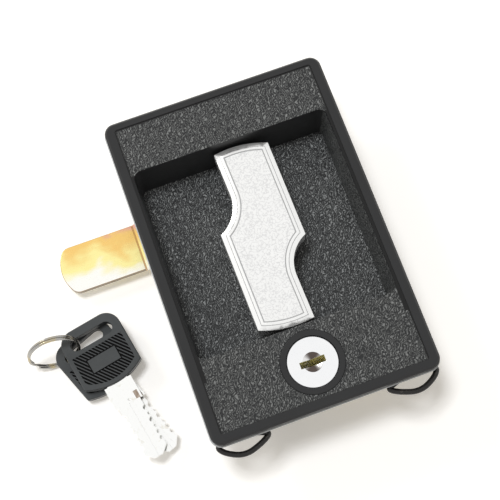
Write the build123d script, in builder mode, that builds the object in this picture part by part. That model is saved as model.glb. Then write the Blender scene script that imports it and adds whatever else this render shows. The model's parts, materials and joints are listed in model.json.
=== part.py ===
from build123d import *
from math import asin, atan2, cos, degrees, radians, sin, sqrt, tan
import os

# A recessed cabinet lock: a black die-cast housing with a square dish, an S-shaped quarter-turn
# handle in the dish, a key cylinder below it, a cranked latch tongue behind, two wire clips
# that hold the lock in its panel, and its two keys on a ring.
# Millimetres. X runs across the lock, Y along it away from the cylinder, Z out of its face.
# The origin is the middle of the flange, in the plane where the gasket meets the panel.

# Flange and gasket
FLANGE_WIDTH = 80.0
FLANGE_LENGTH = 118.0
FLANGE_THICKNESS = 3.5
FLANGE_CORNER = 3.8
FLANGE_EDGE_BEVEL = 0.8
FIELD_SIDE_BORDER = 3.6
FIELD_TOP_BORDER = 2.8
FIELD_BOTTOM_BORDER = 3.2
FIELD_DEPTH = 0.25
FIELD_CORNER = 1.0
CORE_BORDER = 7.2
CORE_DEPTH = 1.0
CORE_CORNER = 2.0
GASKET_THICKNESS = 1.5
GASKET_OVERHANG = 0.4
GASKET_BAND = 2.4
GASKET_INNER_CORNER = 2.8
PANEL_GAP = 1.6

# Dish
DISH_SIDE_BORDER = 4.6
DISH_TOP_BORDER = 19.8
DISH_BOTTOM_BORDER = 28.5
DISH_DEPTH = 20.0
DISH_CORNER = 3.0
DISH_DRAFT = 2.5
DISH_WALL = 2.2
DISH_FLOOR = 2.5
DISH_LIP = 0.4
FLOOR_BOSS_RADIUS = 11.0
FLOOR_BOSS_HEIGHT = 1.5

# Handle
HANDLE_DROP = 4.0
HANDLE_THICKNESS = 8.0
HANDLE_RIM_GAP = 1.25
HANDLE_TIP_NEAR = 6.3
HANDLE_TIP_FAR = 13.0
HANDLE_KNEE_X = 13.7
HANDLE_KNEE_Y = 4.8
HANDLE_SCOOP_X = 5.8
HANDLE_SCOOP_Y = 17.0
HANDLE_BEVEL_WIDTH = 2.2
HANDLE_BEVEL_DROP = 0.9
HANDLE_FIELD_INSET = 2.6
HANDLE_FIELD_DEPTH = 0.2
HANDLE_WALL = 2.0
HANDLE_TOP_WALL = 2.6
HANDLE_BOSS_RADIUS = 8.6
HANDLE_RIB = 1.8
JOURNAL_RADIUS = 6.0
SQUARE_SIZE = 8.0
SEAL_SECTION = 1.6
SEAL_GROOVE_WIDTH = 2.0
SEAL_GROOVE_RADIUS = 4.3
SEAL_SIDES = 8

# Bearing bush
BUSH_WALL = 2.0
BUSH_FLANGE_RADIUS = 10.0
BUSH_FLANGE_THICKNESS = 0.8

# Lock disc
DISC_RADIUS = 20.0
DISC_THICKNESS = 2.0
STOP_LUG_REACH = 24.0
STOP_LUG_HALF_ANGLE = 7.0
STOP_LUG_ANGLE = 180.0
STOP_POST_RADIUS = 2.0
STOP_POST_GAP = 0.5
STOP_POST_HEIGHT = 2.0
STOP_GAP_ANGLE = 0.3
HANDLE_TURN = 90.0

# Tongue and its fastening
SPACER_THICKNESS = 0.8
SPACER_RADIUS = 11.0
TONGUE_THICKNESS = 2.5
TONGUE_WIDTH = 17.5
TONGUE_OFFSET = 17.6
TONGUE_STAND_OUT = 31.5
TONGUE_HUB_RADIUS = 12.0
TONGUE_BEND_PAST_EDGE = 2.0
TONGUE_JOGGLE = 3.0
TONGUE_JOGGLE_RUN = 3.8
TONGUE_TIP_CORNER = 3.5
TONGUE_TIP_CROWN = 3.2
TONGUE_ELBOW = 7.0
WASHER_THICKNESS = 1.6
WASHER_RADIUS = 9.0
SPRING_WASHER_THICKNESS = 1.6
SPRING_WASHER_RADIUS = 5.6
SPRING_WASHER_SLIT = 0.6
SPRING_WASHER_SLIT_ANGLE = 30.0
BOLT_RADIUS = 3.0
BOLT_LENGTH = 12.0
BOLT_HEAD_FLATS = 10.0
BOLT_HEAD_HEIGHT = 4.0

# Key cylinder
CYLINDER_FROM_EDGE = 15.5
BARREL_HEAD_RADIUS = 10.9
BARREL_HEAD_SEAT = 1.0
BARREL_PROUD = 0.2
BARREL_RADIUS = 9.5
BARREL_FLAT = 8.75
BARREL_LENGTH = 25.7
BARREL_BOSS_RADIUS = 12.0
BARREL_BOSS_DEPTH = 4.5
GROOVE_RADIUS = 8.5
CLIP_THICKNESS = 1.0
CLIP_RADIUS = 11.8
CLIP_LEG = 8.5
PLUG_FACE_DROP = 0.5
PLUG_FACE_RADIUS = 8.75
PLUG_FACE_THICKNESS = 2.4
PLUG_RADIUS = 6.5
PLUG_TAIL = 6.0
PLUG_END_GAP = 0.1
DIMPLE_RADIUS = 3.5
DIMPLE_DEPTH = 1.1
KEYWAY_WIDTH = 8.7
KEYWAY_HEIGHT = 2.2
KEYWAY_DEPTH = 23.2
WAFER_COUNT = 7
WAFER_PITCH = 2.4
WAFER_FIRST_DEPTH = 4.0
WAFER_THICKNESS = 1.0
WAFER_WIDTH = 5.0
WAFER_LENGTH = 11.6
WAFER_EAR = 1.3
WAFER_EAR_LENGTH = 1.6
WAFER_SPRING_RADIUS = 0.42
WAFER_SPRING_LENGTH = 2.8
WAFER_SPRING_SIDES = 8
CHANNEL_DEPTH = 1.4

# Blocking cam
CAM_THICKNESS = 2.0
CAM_ROOT_RADIUS = 8.0
CAM_NECK_WIDTH = 11.0
CAM_NECK_SHARE = 0.65
CAM_HALF_ANGLE = 15.0
CAM_ENGAGEMENT = 3.15
CAM_BEND_START = 9.9
CAM_BEND_ANGLE = 45.0
CAM_WASHER_RADIUS = 6.0
CAM_WASHER_THICKNESS = 1.0
CAM_SCREW_RADIUS = 2.0
CAM_SCREW_LENGTH = 6.0
CAM_SCREW_HEAD_RADIUS = 4.0
CAM_SCREW_HEAD_HEIGHT = 2.6
CAM_SCREW_HEAD_CROWN = 0.9
CAM_SCREW_RECESS_LENGTH = 4.0
CAM_SCREW_RECESS_WIDTH = 1.0
CAM_SCREW_RECESS_DEPTH = 1.3

# Wire clips and panel hooks
WIRE_RADIUS = 1.0
WIRE_LUG_FROM_SIDE = 9.0
WIRE_LUG_FROM_END = 5.0
WIRE_LUG_LENGTH = 5.2
WIRE_LUG_WALL = 1.2
WIRE_OUTER_GAP = 1.6
WIRE_INNER_GAP = 1.0
WIRE_SHOULDER = (7.9, -3.15)
WIRE_ELBOW = (4.15, -9.65)
WIRE_HEEL = (-2.7, -9.65)
WIRE_TIP = (-10.4, -5.2)
WIRE_TIP_RETURN = 3.0
WIRE_BENDS = (1.4, 2.5, 7.0, 10.0, 1.2, 1.2, 1.3)
WIRE_SIDES = 12
HOOK_FROM_SIDE = 14.0
HOOK_WIDTH = 9.0
HOOK_ROOT = 2.0
HOOK_REACH = 2.4
HOOK_NOSE = 3.0
HOOK_LAND = 1.0
RIB_FROM_SIDE = 24.0
RIB_THICKNESS = 2.0
RIB_HEIGHT = 4.0
RIB_LENGTH = 13.0
RIB_ROOT = 1.0

# Keys and ring
KEY_BOW_WIDTH = 22.8
KEY_BOW_HEIGHT = 21.2
KEY_BOW_BULGE = 3.2
KEY_BOW_THICKNESS = 4.0
KEY_BOW_CORNER = 5.5
KEY_BOW_LOWER_CORNER = 0.7
KEY_BOW_BEVEL = 0.3
KEY_SLOT_LENGTH = 16.4
KEY_SLOT_WIDTH = 4.6
KEY_SLOT_V = 15.7
KEY_PLAQUE_WIDTH = 10.8
KEY_PLAQUE_HEIGHT = 5.0
KEY_PLAQUE_V = 6.1
KEY_PLAQUE_GROOVE = 0.4
KEY_FIELD_DEPTH = 0.45
KEY_FIELD_BORDER = 1.6
KEY_RIB_PITCH = 1.3
KEY_RIB_WIDTH = 0.6
KEY_RIB_ANGLE = 35.0
KEY_BLADE_WIDTH = 8.4
KEY_BLADE_THICKNESS = 2.0
KEY_BLADE_LENGTH = 29.7
KEY_SHOULDER_WIDTH = 10.5
KEY_SHOULDER_LENGTH = 8.5
KEY_TANG_WIDTH = 8.0
KEY_TANG_LENGTH = 7.0
KEY_TIP_CHAMFER = 2.6
KEY_GROOVE_WIDTH = 1.6
KEY_GROOVE_DEPTH = 0.4
KEY_RECESS_WIDTH = 1.5
KEY_RECESS_LENGTH = 3.0
KEY_RECESS_FROM_EDGE = 0.7
KEY_RECESS_DEPTH = 0.4
KEY_PIT_RADIUS = 0.6
KEY_PIT_DEPTH = 0.4
KEY_PIT_TAPER = 45.0
KEY_BITE_DEPTHS = (0.9, 0.4, 1.0, 0.6, 0.8)
KEY_BITE_WIDTH = 1.0
KEY_BITE_ANGLE = 50.0
KEY_STACK_GAP = 0.3
KEY_1_FROM_FLANGE = 25.2
KEY_1_Y = -19.8
KEY_1_TURN = 11.0
KEY_2_SHIFT = (-1.0, -0.6)
KEY_2_TURN = 22.0
RING_RADIUS = 9.0
RING_WIRE = 0.5
RING_WIRE_SIDES = 8
RING_SHIFT = (-17.1, 14.6)
RING_LEAN = 72.0

# Clearances
PRESS_GAP = 0.02
RUNNING_GAP = 0.06
SLIDE_GAP = 0.1
FREE_GAP = 0.3

# Small edge bevels, and how far a blank or a cut runs past what trims it
EDGE_BREAK = 0.3
OVERCUT = 1.0

# Levels, measured from the panel
flange_back = GASKET_THICKNESS
face = flange_back + FLANGE_THICKNESS
floor_top = face - DISH_DEPTH
floor_back = floor_top - DISH_FLOOR
boss_top = floor_top + FLOOR_BOSS_HEIGHT
bush_top = boss_top + BUSH_FLANGE_THICKNESS
handle_top = face - HANDLE_DROP
handle_bottom = handle_top - HANDLE_THICKNESS
disc_top = floor_back - FREE_GAP
disc_bottom = disc_top - DISC_THICKNESS
tongue_top = disc_bottom - SPACER_THICKNESS
tongue_bottom = tongue_top - TONGUE_THICKNESS
washer_bottom = tongue_bottom - WASHER_THICKNESS
bolt_seat = washer_bottom - SPRING_WASHER_THICKNESS
square_end = tongue_bottom + SLIDE_GAP
table = bolt_seat - BOLT_HEAD_HEIGHT
barrel_top = face + BARREL_PROUD
barrel_seat = face - BARREL_HEAD_SEAT
barrel_back = barrel_seat - BARREL_LENGTH
plug_face = barrel_top - PLUG_FACE_DROP
plug_step = plug_face - PLUG_FACE_THICKNESS
plug_back = barrel_back - PLUG_END_GAP
cam_root_top = barrel_back - FREE_GAP
cam_root_bottom = cam_root_top - CAM_THICKNESS
barrel_boss_back = flange_back - BARREL_BOSS_DEPTH

# Plan places that several pieces share
dish_width = FLANGE_WIDTH - 2 * DISH_SIDE_BORDER
dish_length = FLANGE_LENGTH - DISH_TOP_BORDER - DISH_BOTTOM_BORDER
dish_centre_y = (DISH_BOTTOM_BORDER - DISH_TOP_BORDER) / 2
cylinder_y = CYLINDER_FROM_EDGE - FLANGE_LENGTH / 2
dish_slope = tan(radians(DISH_DRAFT))
dish_top_y = dish_centre_y + dish_length / 2
dish_bottom_y = dish_centre_y - dish_length / 2
handle_reach = min(dish_width, dish_length) / 2 - HANDLE_RIM_GAP
tongue_reach = FLANGE_WIDTH / 2 + TONGUE_STAND_OUT
tongue_bend_x = FLANGE_WIDTH / 2 + TONGUE_BEND_PAST_EDGE
wire_lug_x = FLANGE_WIDTH / 2 - WIRE_LUG_FROM_SIDE
wire_lug_y = WIRE_LUG_FROM_END - FLANGE_LENGTH / 2
hook_x = FLANGE_WIDTH / 2 - HOOK_FROM_SIDE
rib_x = FLANGE_WIDTH / 2 - RIB_FROM_SIDE
key_1_place = (-FLANGE_WIDTH / 2 - KEY_1_FROM_FLANGE, KEY_1_Y)
key_2_place = (key_1_place[0] + KEY_2_SHIFT[0], KEY_1_Y + KEY_2_SHIFT[1])
ring_place = (key_1_place[0] + RING_SHIFT[0], KEY_1_Y + RING_SHIFT[1])
axis_distance = dish_centre_y - cylinder_y
cam_reach = axis_distance - DISC_RADIUS + CAM_ENGAGEMENT
gasket_inner_width = FLANGE_WIDTH - 2 * GASKET_BAND + 2 * FREE_GAP
gasket_inner_length = FLANGE_LENGTH - 2 * GASKET_BAND

pivot = (0, dish_centre_y)
cylinder = (0, cylinder_y)

os.makedirs("parts", exist_ok=True)


def save(solid, name):
    solid.label = name
    export_step(solid, f"parts/{name}.step")


# Housing: flange, dish, bosses, lugs and stops in one casting
stop_post_place = DISC_RADIUS + STOP_POST_RADIUS + STOP_POST_GAP
stop_post_angle = STOP_LUG_HALF_ANGLE + degrees(asin(STOP_POST_RADIUS / stop_post_place)) + STOP_GAP_ANGLE
wire_z = -PANEL_GAP - WIRE_RADIUS
lug_radius = WIRE_RADIUS + RUNNING_GAP + WIRE_LUG_WALL

with BuildPart() as housing:
    with BuildSketch(Plane.XY.offset(flange_back)):
        RectangleRounded(FLANGE_WIDTH, FLANGE_LENGTH, FLANGE_CORNER)
    extrude(amount=FLANGE_THICKNESS)
    chamfer(housing.faces().sort_by(Axis.Z)[-1].edges(), FLANGE_EDGE_BEVEL)
    # the sunk field that carries the grain
    with BuildSketch(Plane.XY.offset(face)):
        with Locations((0, (FIELD_BOTTOM_BORDER - FIELD_TOP_BORDER) / 2)):
            RectangleRounded(
                FLANGE_WIDTH - 2 * FIELD_SIDE_BORDER,
                FLANGE_LENGTH - FIELD_TOP_BORDER - FIELD_BOTTOM_BORDER,
                FIELD_CORNER,
            )
    extrude(amount=-FIELD_DEPTH, mode=Mode.SUBTRACT)
    # coring behind the two flat ends
    core_width = FLANGE_WIDTH - 2 * CORE_BORDER
    lower_core = dish_bottom_y - DISH_WALL + FLANGE_LENGTH / 2 - CORE_BORDER
    upper_core = FLANGE_LENGTH / 2 - dish_top_y - DISH_WALL - CORE_BORDER
    with BuildSketch(Plane.XY.offset(flange_back)):
        with Locations((0, dish_bottom_y - DISH_WALL - lower_core / 2)):
            RectangleRounded(core_width, lower_core, CORE_CORNER)
        with Locations((0, dish_top_y + DISH_WALL + upper_core / 2)):
            RectangleRounded(core_width, upper_core, CORE_CORNER)
    extrude(amount=CORE_DEPTH, mode=Mode.SUBTRACT)
    # dish walls and floor
    outer_half_drop = FLANGE_THICKNESS * dish_slope
    with BuildSketch(Plane.XY.offset(flange_back)):
        with Locations(pivot):
            RectangleRounded(
                dish_width + 2 * DISH_WALL - 2 * outer_half_drop,
                dish_length + 2 * DISH_WALL - 2 * outer_half_drop,
                DISH_CORNER + DISH_WALL,
            )
    extrude(amount=-(flange_back - floor_back), taper=DISH_DRAFT)
    # ribs that tie the end plate to the dish
    rib_y = dish_bottom_y - DISH_WALL + RIB_ROOT - (RIB_LENGTH + RIB_ROOT) / 2
    with BuildSketch(Plane.XY.offset(flange_back + CORE_DEPTH)):
        with Locations((rib_x, rib_y), (-rib_x, rib_y)):
            Rectangle(RIB_THICKNESS, RIB_LENGTH + RIB_ROOT)
    extrude(amount=-(CORE_DEPTH + RIB_HEIGHT))
    # cylinder boss
    with BuildSketch(Plane.XY.offset(barrel_boss_back)):
        with Locations(cylinder):
            Circle(BARREL_BOSS_RADIUS)
    extrude(amount=BARREL_BOSS_DEPTH + CORE_DEPTH)
    # lugs that carry the wire clips
    with BuildSketch(Plane.YZ.offset(wire_lug_x - WIRE_LUG_LENGTH / 2)):
        with BuildLine():
            Polyline(
                (wire_lug_y + lug_radius, wire_z),
                (wire_lug_y + lug_radius, flange_back),
                (wire_lug_y - lug_radius, flange_back),
                (wire_lug_y - lug_radius, wire_z),
            )
            ThreePointArc(
                (wire_lug_y - lug_radius, wire_z),
                (wire_lug_y, wire_z - lug_radius),
                (wire_lug_y + lug_radius, wire_z),
            )
        make_face()
    extrude(amount=WIRE_LUG_LENGTH)
    mirror(about=Plane.YZ)
    # hooks that hold the far end behind the panel
    hook_y = gasket_inner_length / 2 - FREE_GAP
    hook_nose_bottom = -PANEL_GAP - HOOK_NOSE
    with BuildSketch(Plane.YZ.offset(hook_x - HOOK_WIDTH / 2)):
        with BuildLine():
            Polyline(
                (hook_y - HOOK_ROOT, flange_back),
                (hook_y, flange_back),
                (hook_y, -PANEL_GAP),
                (hook_y + HOOK_REACH, -PANEL_GAP),
                (hook_y + HOOK_REACH, -PANEL_GAP - HOOK_LAND),
                (hook_y, hook_nose_bottom),
                (hook_y - HOOK_ROOT, hook_nose_bottom),
                close=True,
            )
        make_face()
    extrude(amount=HOOK_WIDTH)
    mirror(about=Plane.YZ)
    # dish cavity
    with BuildSketch(Plane.XY.offset(face)):
        with Locations(pivot):
            RectangleRounded(dish_width, dish_length, DISH_CORNER)
    extrude(amount=-DISH_DEPTH, taper=DISH_DRAFT, mode=Mode.SUBTRACT)
    # boss for the bearing, standing on the floor
    with BuildSketch(Plane.XY.offset(floor_back)):
        with Locations(pivot):
            Circle(FLOOR_BOSS_RADIUS)
    extrude(amount=DISH_FLOOR + FLOOR_BOSS_HEIGHT)
    # stops for the lock disc
    with BuildSketch(Plane.XY.offset(floor_back)):
        with Locations(pivot):
            with PolarLocations(stop_post_place, 1, STOP_LUG_ANGLE + stop_post_angle):
                Circle(STOP_POST_RADIUS)
            with PolarLocations(stop_post_place, 1, STOP_LUG_ANGLE - HANDLE_TURN - stop_post_angle):
                Circle(STOP_POST_RADIUS)
    extrude(amount=-STOP_POST_HEIGHT)
    # bores
    bush_radius = JOURNAL_RADIUS + RUNNING_GAP + BUSH_WALL
    with BuildSketch(Plane.XY.offset(boss_top)):
        with Locations(pivot):
            Circle(bush_radius + PRESS_GAP)
    extrude(amount=-(boss_top - floor_back), mode=Mode.SUBTRACT)
    with BuildSketch(Plane.XY.offset(barrel_seat)):
        with Locations(cylinder):
            Circle(BARREL_RADIUS + RUNNING_GAP)
            Rectangle(
                2 * BARREL_RADIUS + OVERCUT,
                2 * (BARREL_FLAT + RUNNING_GAP),
                mode=Mode.INTERSECT,
            )
    extrude(amount=-(barrel_seat - barrel_boss_back), mode=Mode.SUBTRACT)
    with BuildSketch(Plane.XY.offset(barrel_seat)):
        with Locations(cylinder):
            Circle(BARREL_HEAD_RADIUS + RUNNING_GAP)
    extrude(amount=BARREL_HEAD_SEAT, mode=Mode.SUBTRACT)
    with BuildSketch(Plane.YZ.offset(-FLANGE_WIDTH / 2)):
        with Locations((wire_lug_y, wire_z)):
            Circle(WIRE_RADIUS + RUNNING_GAP)
    extrude(amount=FLANGE_WIDTH, mode=Mode.SUBTRACT)
save(housing.part, "housing")

# Gasket under the flange
with BuildPart() as gasket:
    with BuildSketch():
        RectangleRounded(
            FLANGE_WIDTH + 2 * GASKET_OVERHANG,
            FLANGE_LENGTH + 2 * GASKET_OVERHANG,
            FLANGE_CORNER + GASKET_OVERHANG,
        )
        RectangleRounded(
            gasket_inner_width,
            gasket_inner_length,
            GASKET_INNER_CORNER,
            mode=Mode.SUBTRACT,
        )
    extrude(amount=GASKET_THICKNESS)
save(gasket.part, "gasket")

# Flanged bush in the dish floor
with BuildPart() as shaft_bush:
    with BuildSketch(Plane.XY.offset(floor_back)):
        with Locations(pivot):
            Circle(bush_radius)
    extrude(amount=boss_top - floor_back)
    with BuildSketch(Plane.XY.offset(boss_top)):
        with Locations(pivot):
            Circle(BUSH_FLANGE_RADIUS)
    extrude(amount=BUSH_FLANGE_THICKNESS)
    with BuildSketch(Plane.XY.offset(bush_top)):
        with Locations(pivot):
            Circle(JOURNAL_RADIUS + RUNNING_GAP)
    extrude(amount=-(bush_top - floor_back), mode=Mode.SUBTRACT)
save(shaft_bush.part, "shaft_bush")

# Handle: the outline is the same after half a turn, and the spindle is cast with it
tip_near_y = sqrt(handle_reach**2 - HANDLE_TIP_NEAR**2)
tip_far_y = sqrt(handle_reach**2 - HANDLE_TIP_FAR**2)

with BuildSketch() as handle_outline:
    with BuildLine():
        RadiusArc((-HANDLE_TIP_NEAR, tip_near_y), (HANDLE_TIP_FAR, tip_far_y), handle_reach)
        Line((HANDLE_TIP_FAR, tip_far_y), (HANDLE_KNEE_X, -HANDLE_KNEE_Y))
        TangentArc((HANDLE_SCOOP_X, -HANDLE_SCOOP_Y), (HANDLE_KNEE_X, -HANDLE_KNEE_Y), tangent=(0, 1))
        Line((HANDLE_SCOOP_X, -HANDLE_SCOOP_Y), (HANDLE_TIP_NEAR, -tip_near_y))
        RadiusArc((HANDLE_TIP_NEAR, -tip_near_y), (-HANDLE_TIP_FAR, -tip_far_y), handle_reach)
        Line((-HANDLE_TIP_FAR, -tip_far_y), (-HANDLE_KNEE_X, HANDLE_KNEE_Y))
        TangentArc((-HANDLE_SCOOP_X, HANDLE_SCOOP_Y), (-HANDLE_KNEE_X, HANDLE_KNEE_Y), tangent=(0, -1))
        Line((-HANDLE_SCOOP_X, HANDLE_SCOOP_Y), (-HANDLE_TIP_NEAR, tip_near_y))
    make_face()

journal_end = floor_back - RUNNING_GAP
seal_z = (bush_top + floor_back) / 2
with BuildPart() as handle:
    with BuildSketch(Plane(origin=(0, dish_centre_y, handle_bottom))):
        add(handle_outline.sketch)
    extrude(amount=HANDLE_THICKNESS)
    chamfer(handle.faces().sort_by(Axis.Z)[-1].edges(), HANDLE_BEVEL_DROP, HANDLE_BEVEL_WIDTH)
    # the sunk field on top that carries the grain
    with BuildSketch(Plane(origin=(0, dish_centre_y, handle_top))):
        add(handle_outline.sketch)
        offset(amount=-HANDLE_FIELD_INSET, kind=Kind.INTERSECTION, mode=Mode.REPLACE)
    extrude(amount=-HANDLE_FIELD_DEPTH, mode=Mode.SUBTRACT)
    # hollow underside, with a rib along each arm
    with BuildSketch(Plane(origin=(0, dish_centre_y, handle_bottom))):
        add(handle_outline.sketch)
        offset(amount=-HANDLE_WALL, kind=Kind.INTERSECTION, mode=Mode.REPLACE)
        Rectangle(HANDLE_RIB, 2 * handle_reach, mode=Mode.SUBTRACT)
    extrude(amount=HANDLE_THICKNESS - HANDLE_TOP_WALL, mode=Mode.SUBTRACT)
    # boss, journal and square end
    with BuildSketch(Plane(origin=(0, dish_centre_y, bush_top + SLIDE_GAP))):
        Circle(HANDLE_BOSS_RADIUS)
    extrude(amount=handle_top - HANDLE_TOP_WALL - bush_top)
    with BuildSketch(Plane(origin=(0, dish_centre_y, journal_end))):
        Circle(JOURNAL_RADIUS)
    extrude(amount=bush_top + SLIDE_GAP - journal_end)
    with BuildSketch(Plane(origin=(0, dish_centre_y, square_end))):
        RectangleRounded(SQUARE_SIZE, SQUARE_SIZE, EDGE_BREAK)
    extrude(amount=journal_end - square_end)
    # groove for the seal ring
    with BuildSketch(Plane(origin=(0, dish_centre_y, seal_z - SEAL_GROOVE_WIDTH / 2))):
        Circle(JOURNAL_RADIUS + OVERCUT)
        Circle(SEAL_GROOVE_RADIUS, mode=Mode.SUBTRACT)
    extrude(amount=SEAL_GROOVE_WIDTH, mode=Mode.SUBTRACT)
    # tapped hole for the bolt
    bolt_tip = bolt_seat + BOLT_LENGTH
    with BuildSketch(Plane(origin=(0, dish_centre_y, square_end))):
        Circle(BOLT_RADIUS + PRESS_GAP)
    extrude(amount=bolt_tip + OVERCUT - square_end, mode=Mode.SUBTRACT)
save(handle.part, "handle")

# Seal ring in the journal's groove
with BuildPart() as shaft_seal:
    with BuildSketch(Plane.YZ):
        with Locations((dish_centre_y + JOURNAL_RADIUS - RUNNING_GAP - SEAL_SECTION / 2, seal_z)):
            RegularPolygon(SEAL_SECTION / 2, SEAL_SIDES)
    revolve(axis=Axis((0, dish_centre_y, 0), (0, 0, 1)))
save(shaft_seal.part, "shaft_seal")

# Lock disc: a stop lug, and two hollows that take the cam at either end of the handle's turn
lug_x = STOP_LUG_REACH * cos(radians(STOP_LUG_HALF_ANGLE))
lug_y = STOP_LUG_REACH * sin(radians(STOP_LUG_HALF_ANGLE))
with BuildPart() as lock_disc:
    with BuildSketch(Plane(origin=(0, dish_centre_y, disc_bottom))):
        with PolarLocations(0, 1, STOP_LUG_ANGLE):
            Polygon((0, 0), (lug_x, -lug_y), (lug_x, lug_y), align=None)
        Circle(DISC_RADIUS)
        with Locations((0, -axis_distance), (axis_distance, 0)):
            Circle(cam_reach + FREE_GAP, mode=Mode.SUBTRACT)
        Rectangle(SQUARE_SIZE + SLIDE_GAP, SQUARE_SIZE + SLIDE_GAP, mode=Mode.SUBTRACT)
    extrude(amount=DISC_THICKNESS)
save(lock_disc.part, "lock_disc")

# Spacer between the disc and the tongue
with BuildPart() as spacer_washer:
    with BuildSketch(Plane(origin=(0, dish_centre_y, tongue_top))):
        Circle(SPACER_RADIUS)
        Rectangle(SQUARE_SIZE + SLIDE_GAP, SQUARE_SIZE + SLIDE_GAP, mode=Mode.SUBTRACT)
    extrude(amount=SPACER_THICKNESS)
save(spacer_washer.part, "spacer_washer")

# Tongue: cranked in plan and joggled in section, bent from one plate
bar_middle = dish_centre_y + TONGUE_OFFSET
bar_low = bar_middle - TONGUE_WIDTH / 2
bar_high = bar_middle + TONGUE_WIDTH / 2
tip_shoulder = -tongue_reach + TONGUE_TIP_CROWN
tongue_bend = TONGUE_THICKNESS * tan(atan2(TONGUE_JOGGLE, TONGUE_JOGGLE_RUN) / 2)
with BuildPart() as tongue:
    with BuildSketch(Plane.XY.offset(tongue_bottom - TONGUE_JOGGLE - OVERCUT)) as tongue_plan:
        with BuildLine():
            ThreePointArc((tip_shoulder, bar_low), (-tongue_reach, bar_middle), (tip_shoulder, bar_high))
            Polyline(
                (tip_shoulder, bar_high),
                (TONGUE_HUB_RADIUS, bar_high),
                (TONGUE_HUB_RADIUS, dish_centre_y),
            )
            ThreePointArc(
                (TONGUE_HUB_RADIUS, dish_centre_y),
                (0, dish_centre_y - TONGUE_HUB_RADIUS),
                (-TONGUE_HUB_RADIUS, dish_centre_y),
            )
            Polyline(
                (-TONGUE_HUB_RADIUS, dish_centre_y),
                (-TONGUE_HUB_RADIUS, bar_low),
                (tip_shoulder, bar_low),
            )
        make_face()
        fillet(tongue_plan.vertices().group_by(Axis.X)[0], TONGUE_TIP_CORNER)
        fillet(tongue_plan.vertices().group_by(Axis.Y)[-1].sort_by(Axis.X)[-1], TONGUE_ELBOW)
        fillet(tongue_plan.vertices().sort_by_distance((-TONGUE_HUB_RADIUS, bar_low))[0], TONGUE_ELBOW / 2)
        with Locations(pivot):
            Rectangle(SQUARE_SIZE + SLIDE_GAP, SQUARE_SIZE + SLIDE_GAP, mode=Mode.SUBTRACT)
    extrude(amount=TONGUE_THICKNESS + TONGUE_JOGGLE + 2 * OVERCUT)
    with BuildSketch(Plane.XZ) as tongue_band:
        with BuildLine():
            Polyline(
                (-tongue_reach - OVERCUT, tongue_top - TONGUE_JOGGLE),
                (-tongue_bend_x, tongue_top - TONGUE_JOGGLE),
                (-tongue_bend_x + TONGUE_JOGGLE_RUN, tongue_top),
                (TONGUE_HUB_RADIUS + OVERCUT, tongue_top),
                (TONGUE_HUB_RADIUS + OVERCUT, tongue_bottom),
                (-tongue_bend_x + TONGUE_JOGGLE_RUN + tongue_bend, tongue_bottom),
                (-tongue_bend_x + tongue_bend, tongue_bottom - TONGUE_JOGGLE),
                (-tongue_reach - OVERCUT, tongue_bottom - TONGUE_JOGGLE),
                close=True,
            )
        make_face()
    extrude(amount=bar_high + OVERCUT, both=True, mode=Mode.INTERSECT)
save(tongue.part, "tongue")

# Washers and bolt under the tongue
with BuildPart() as tongue_washer:
    with BuildSketch(Plane(origin=(0, dish_centre_y, washer_bottom))):
        Circle(WASHER_RADIUS)
        Circle(BOLT_RADIUS + SLIDE_GAP, mode=Mode.SUBTRACT)
    extrude(amount=WASHER_THICKNESS)
save(tongue_washer.part, "tongue_washer")

with BuildPart() as lock_washer:
    with BuildSketch(Plane(origin=(0, dish_centre_y, bolt_seat))):
        Circle(SPRING_WASHER_RADIUS)
        Circle(BOLT_RADIUS + SLIDE_GAP, mode=Mode.SUBTRACT)
        with Locations((SPRING_WASHER_RADIUS / 2 + BOLT_RADIUS / 2, 0)):
            Rectangle(
                SPRING_WASHER_RADIUS,
                SPRING_WASHER_SLIT,
                rotation=SPRING_WASHER_SLIT_ANGLE,
                mode=Mode.SUBTRACT,
            )
    extrude(amount=SPRING_WASHER_THICKNESS)
save(lock_washer.part, "lock_washer")

with BuildPart() as tongue_bolt:
    with BuildSketch(Plane(origin=(0, dish_centre_y, bolt_seat))):
        RegularPolygon(BOLT_HEAD_FLATS / 2, 6, major_radius=False)
    extrude(amount=-BOLT_HEAD_HEIGHT)
    with BuildSketch(Plane(origin=(0, dish_centre_y, bolt_seat - BOLT_HEAD_HEIGHT))):
        Circle(BOLT_HEAD_FLATS / 2 + EDGE_BREAK)
    extrude(amount=BOLT_HEAD_HEIGHT, taper=-45, mode=Mode.INTERSECT)
    with BuildSketch(Plane(origin=(0, dish_centre_y, bolt_seat))):
        Circle(BOLT_RADIUS)
    extrude(amount=BOLT_LENGTH)
    chamfer(tongue_bolt.faces().sort_by(Axis.Z)[-1].edges(), EDGE_BREAK)
save(tongue_bolt.part, "tongue_bolt")

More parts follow.
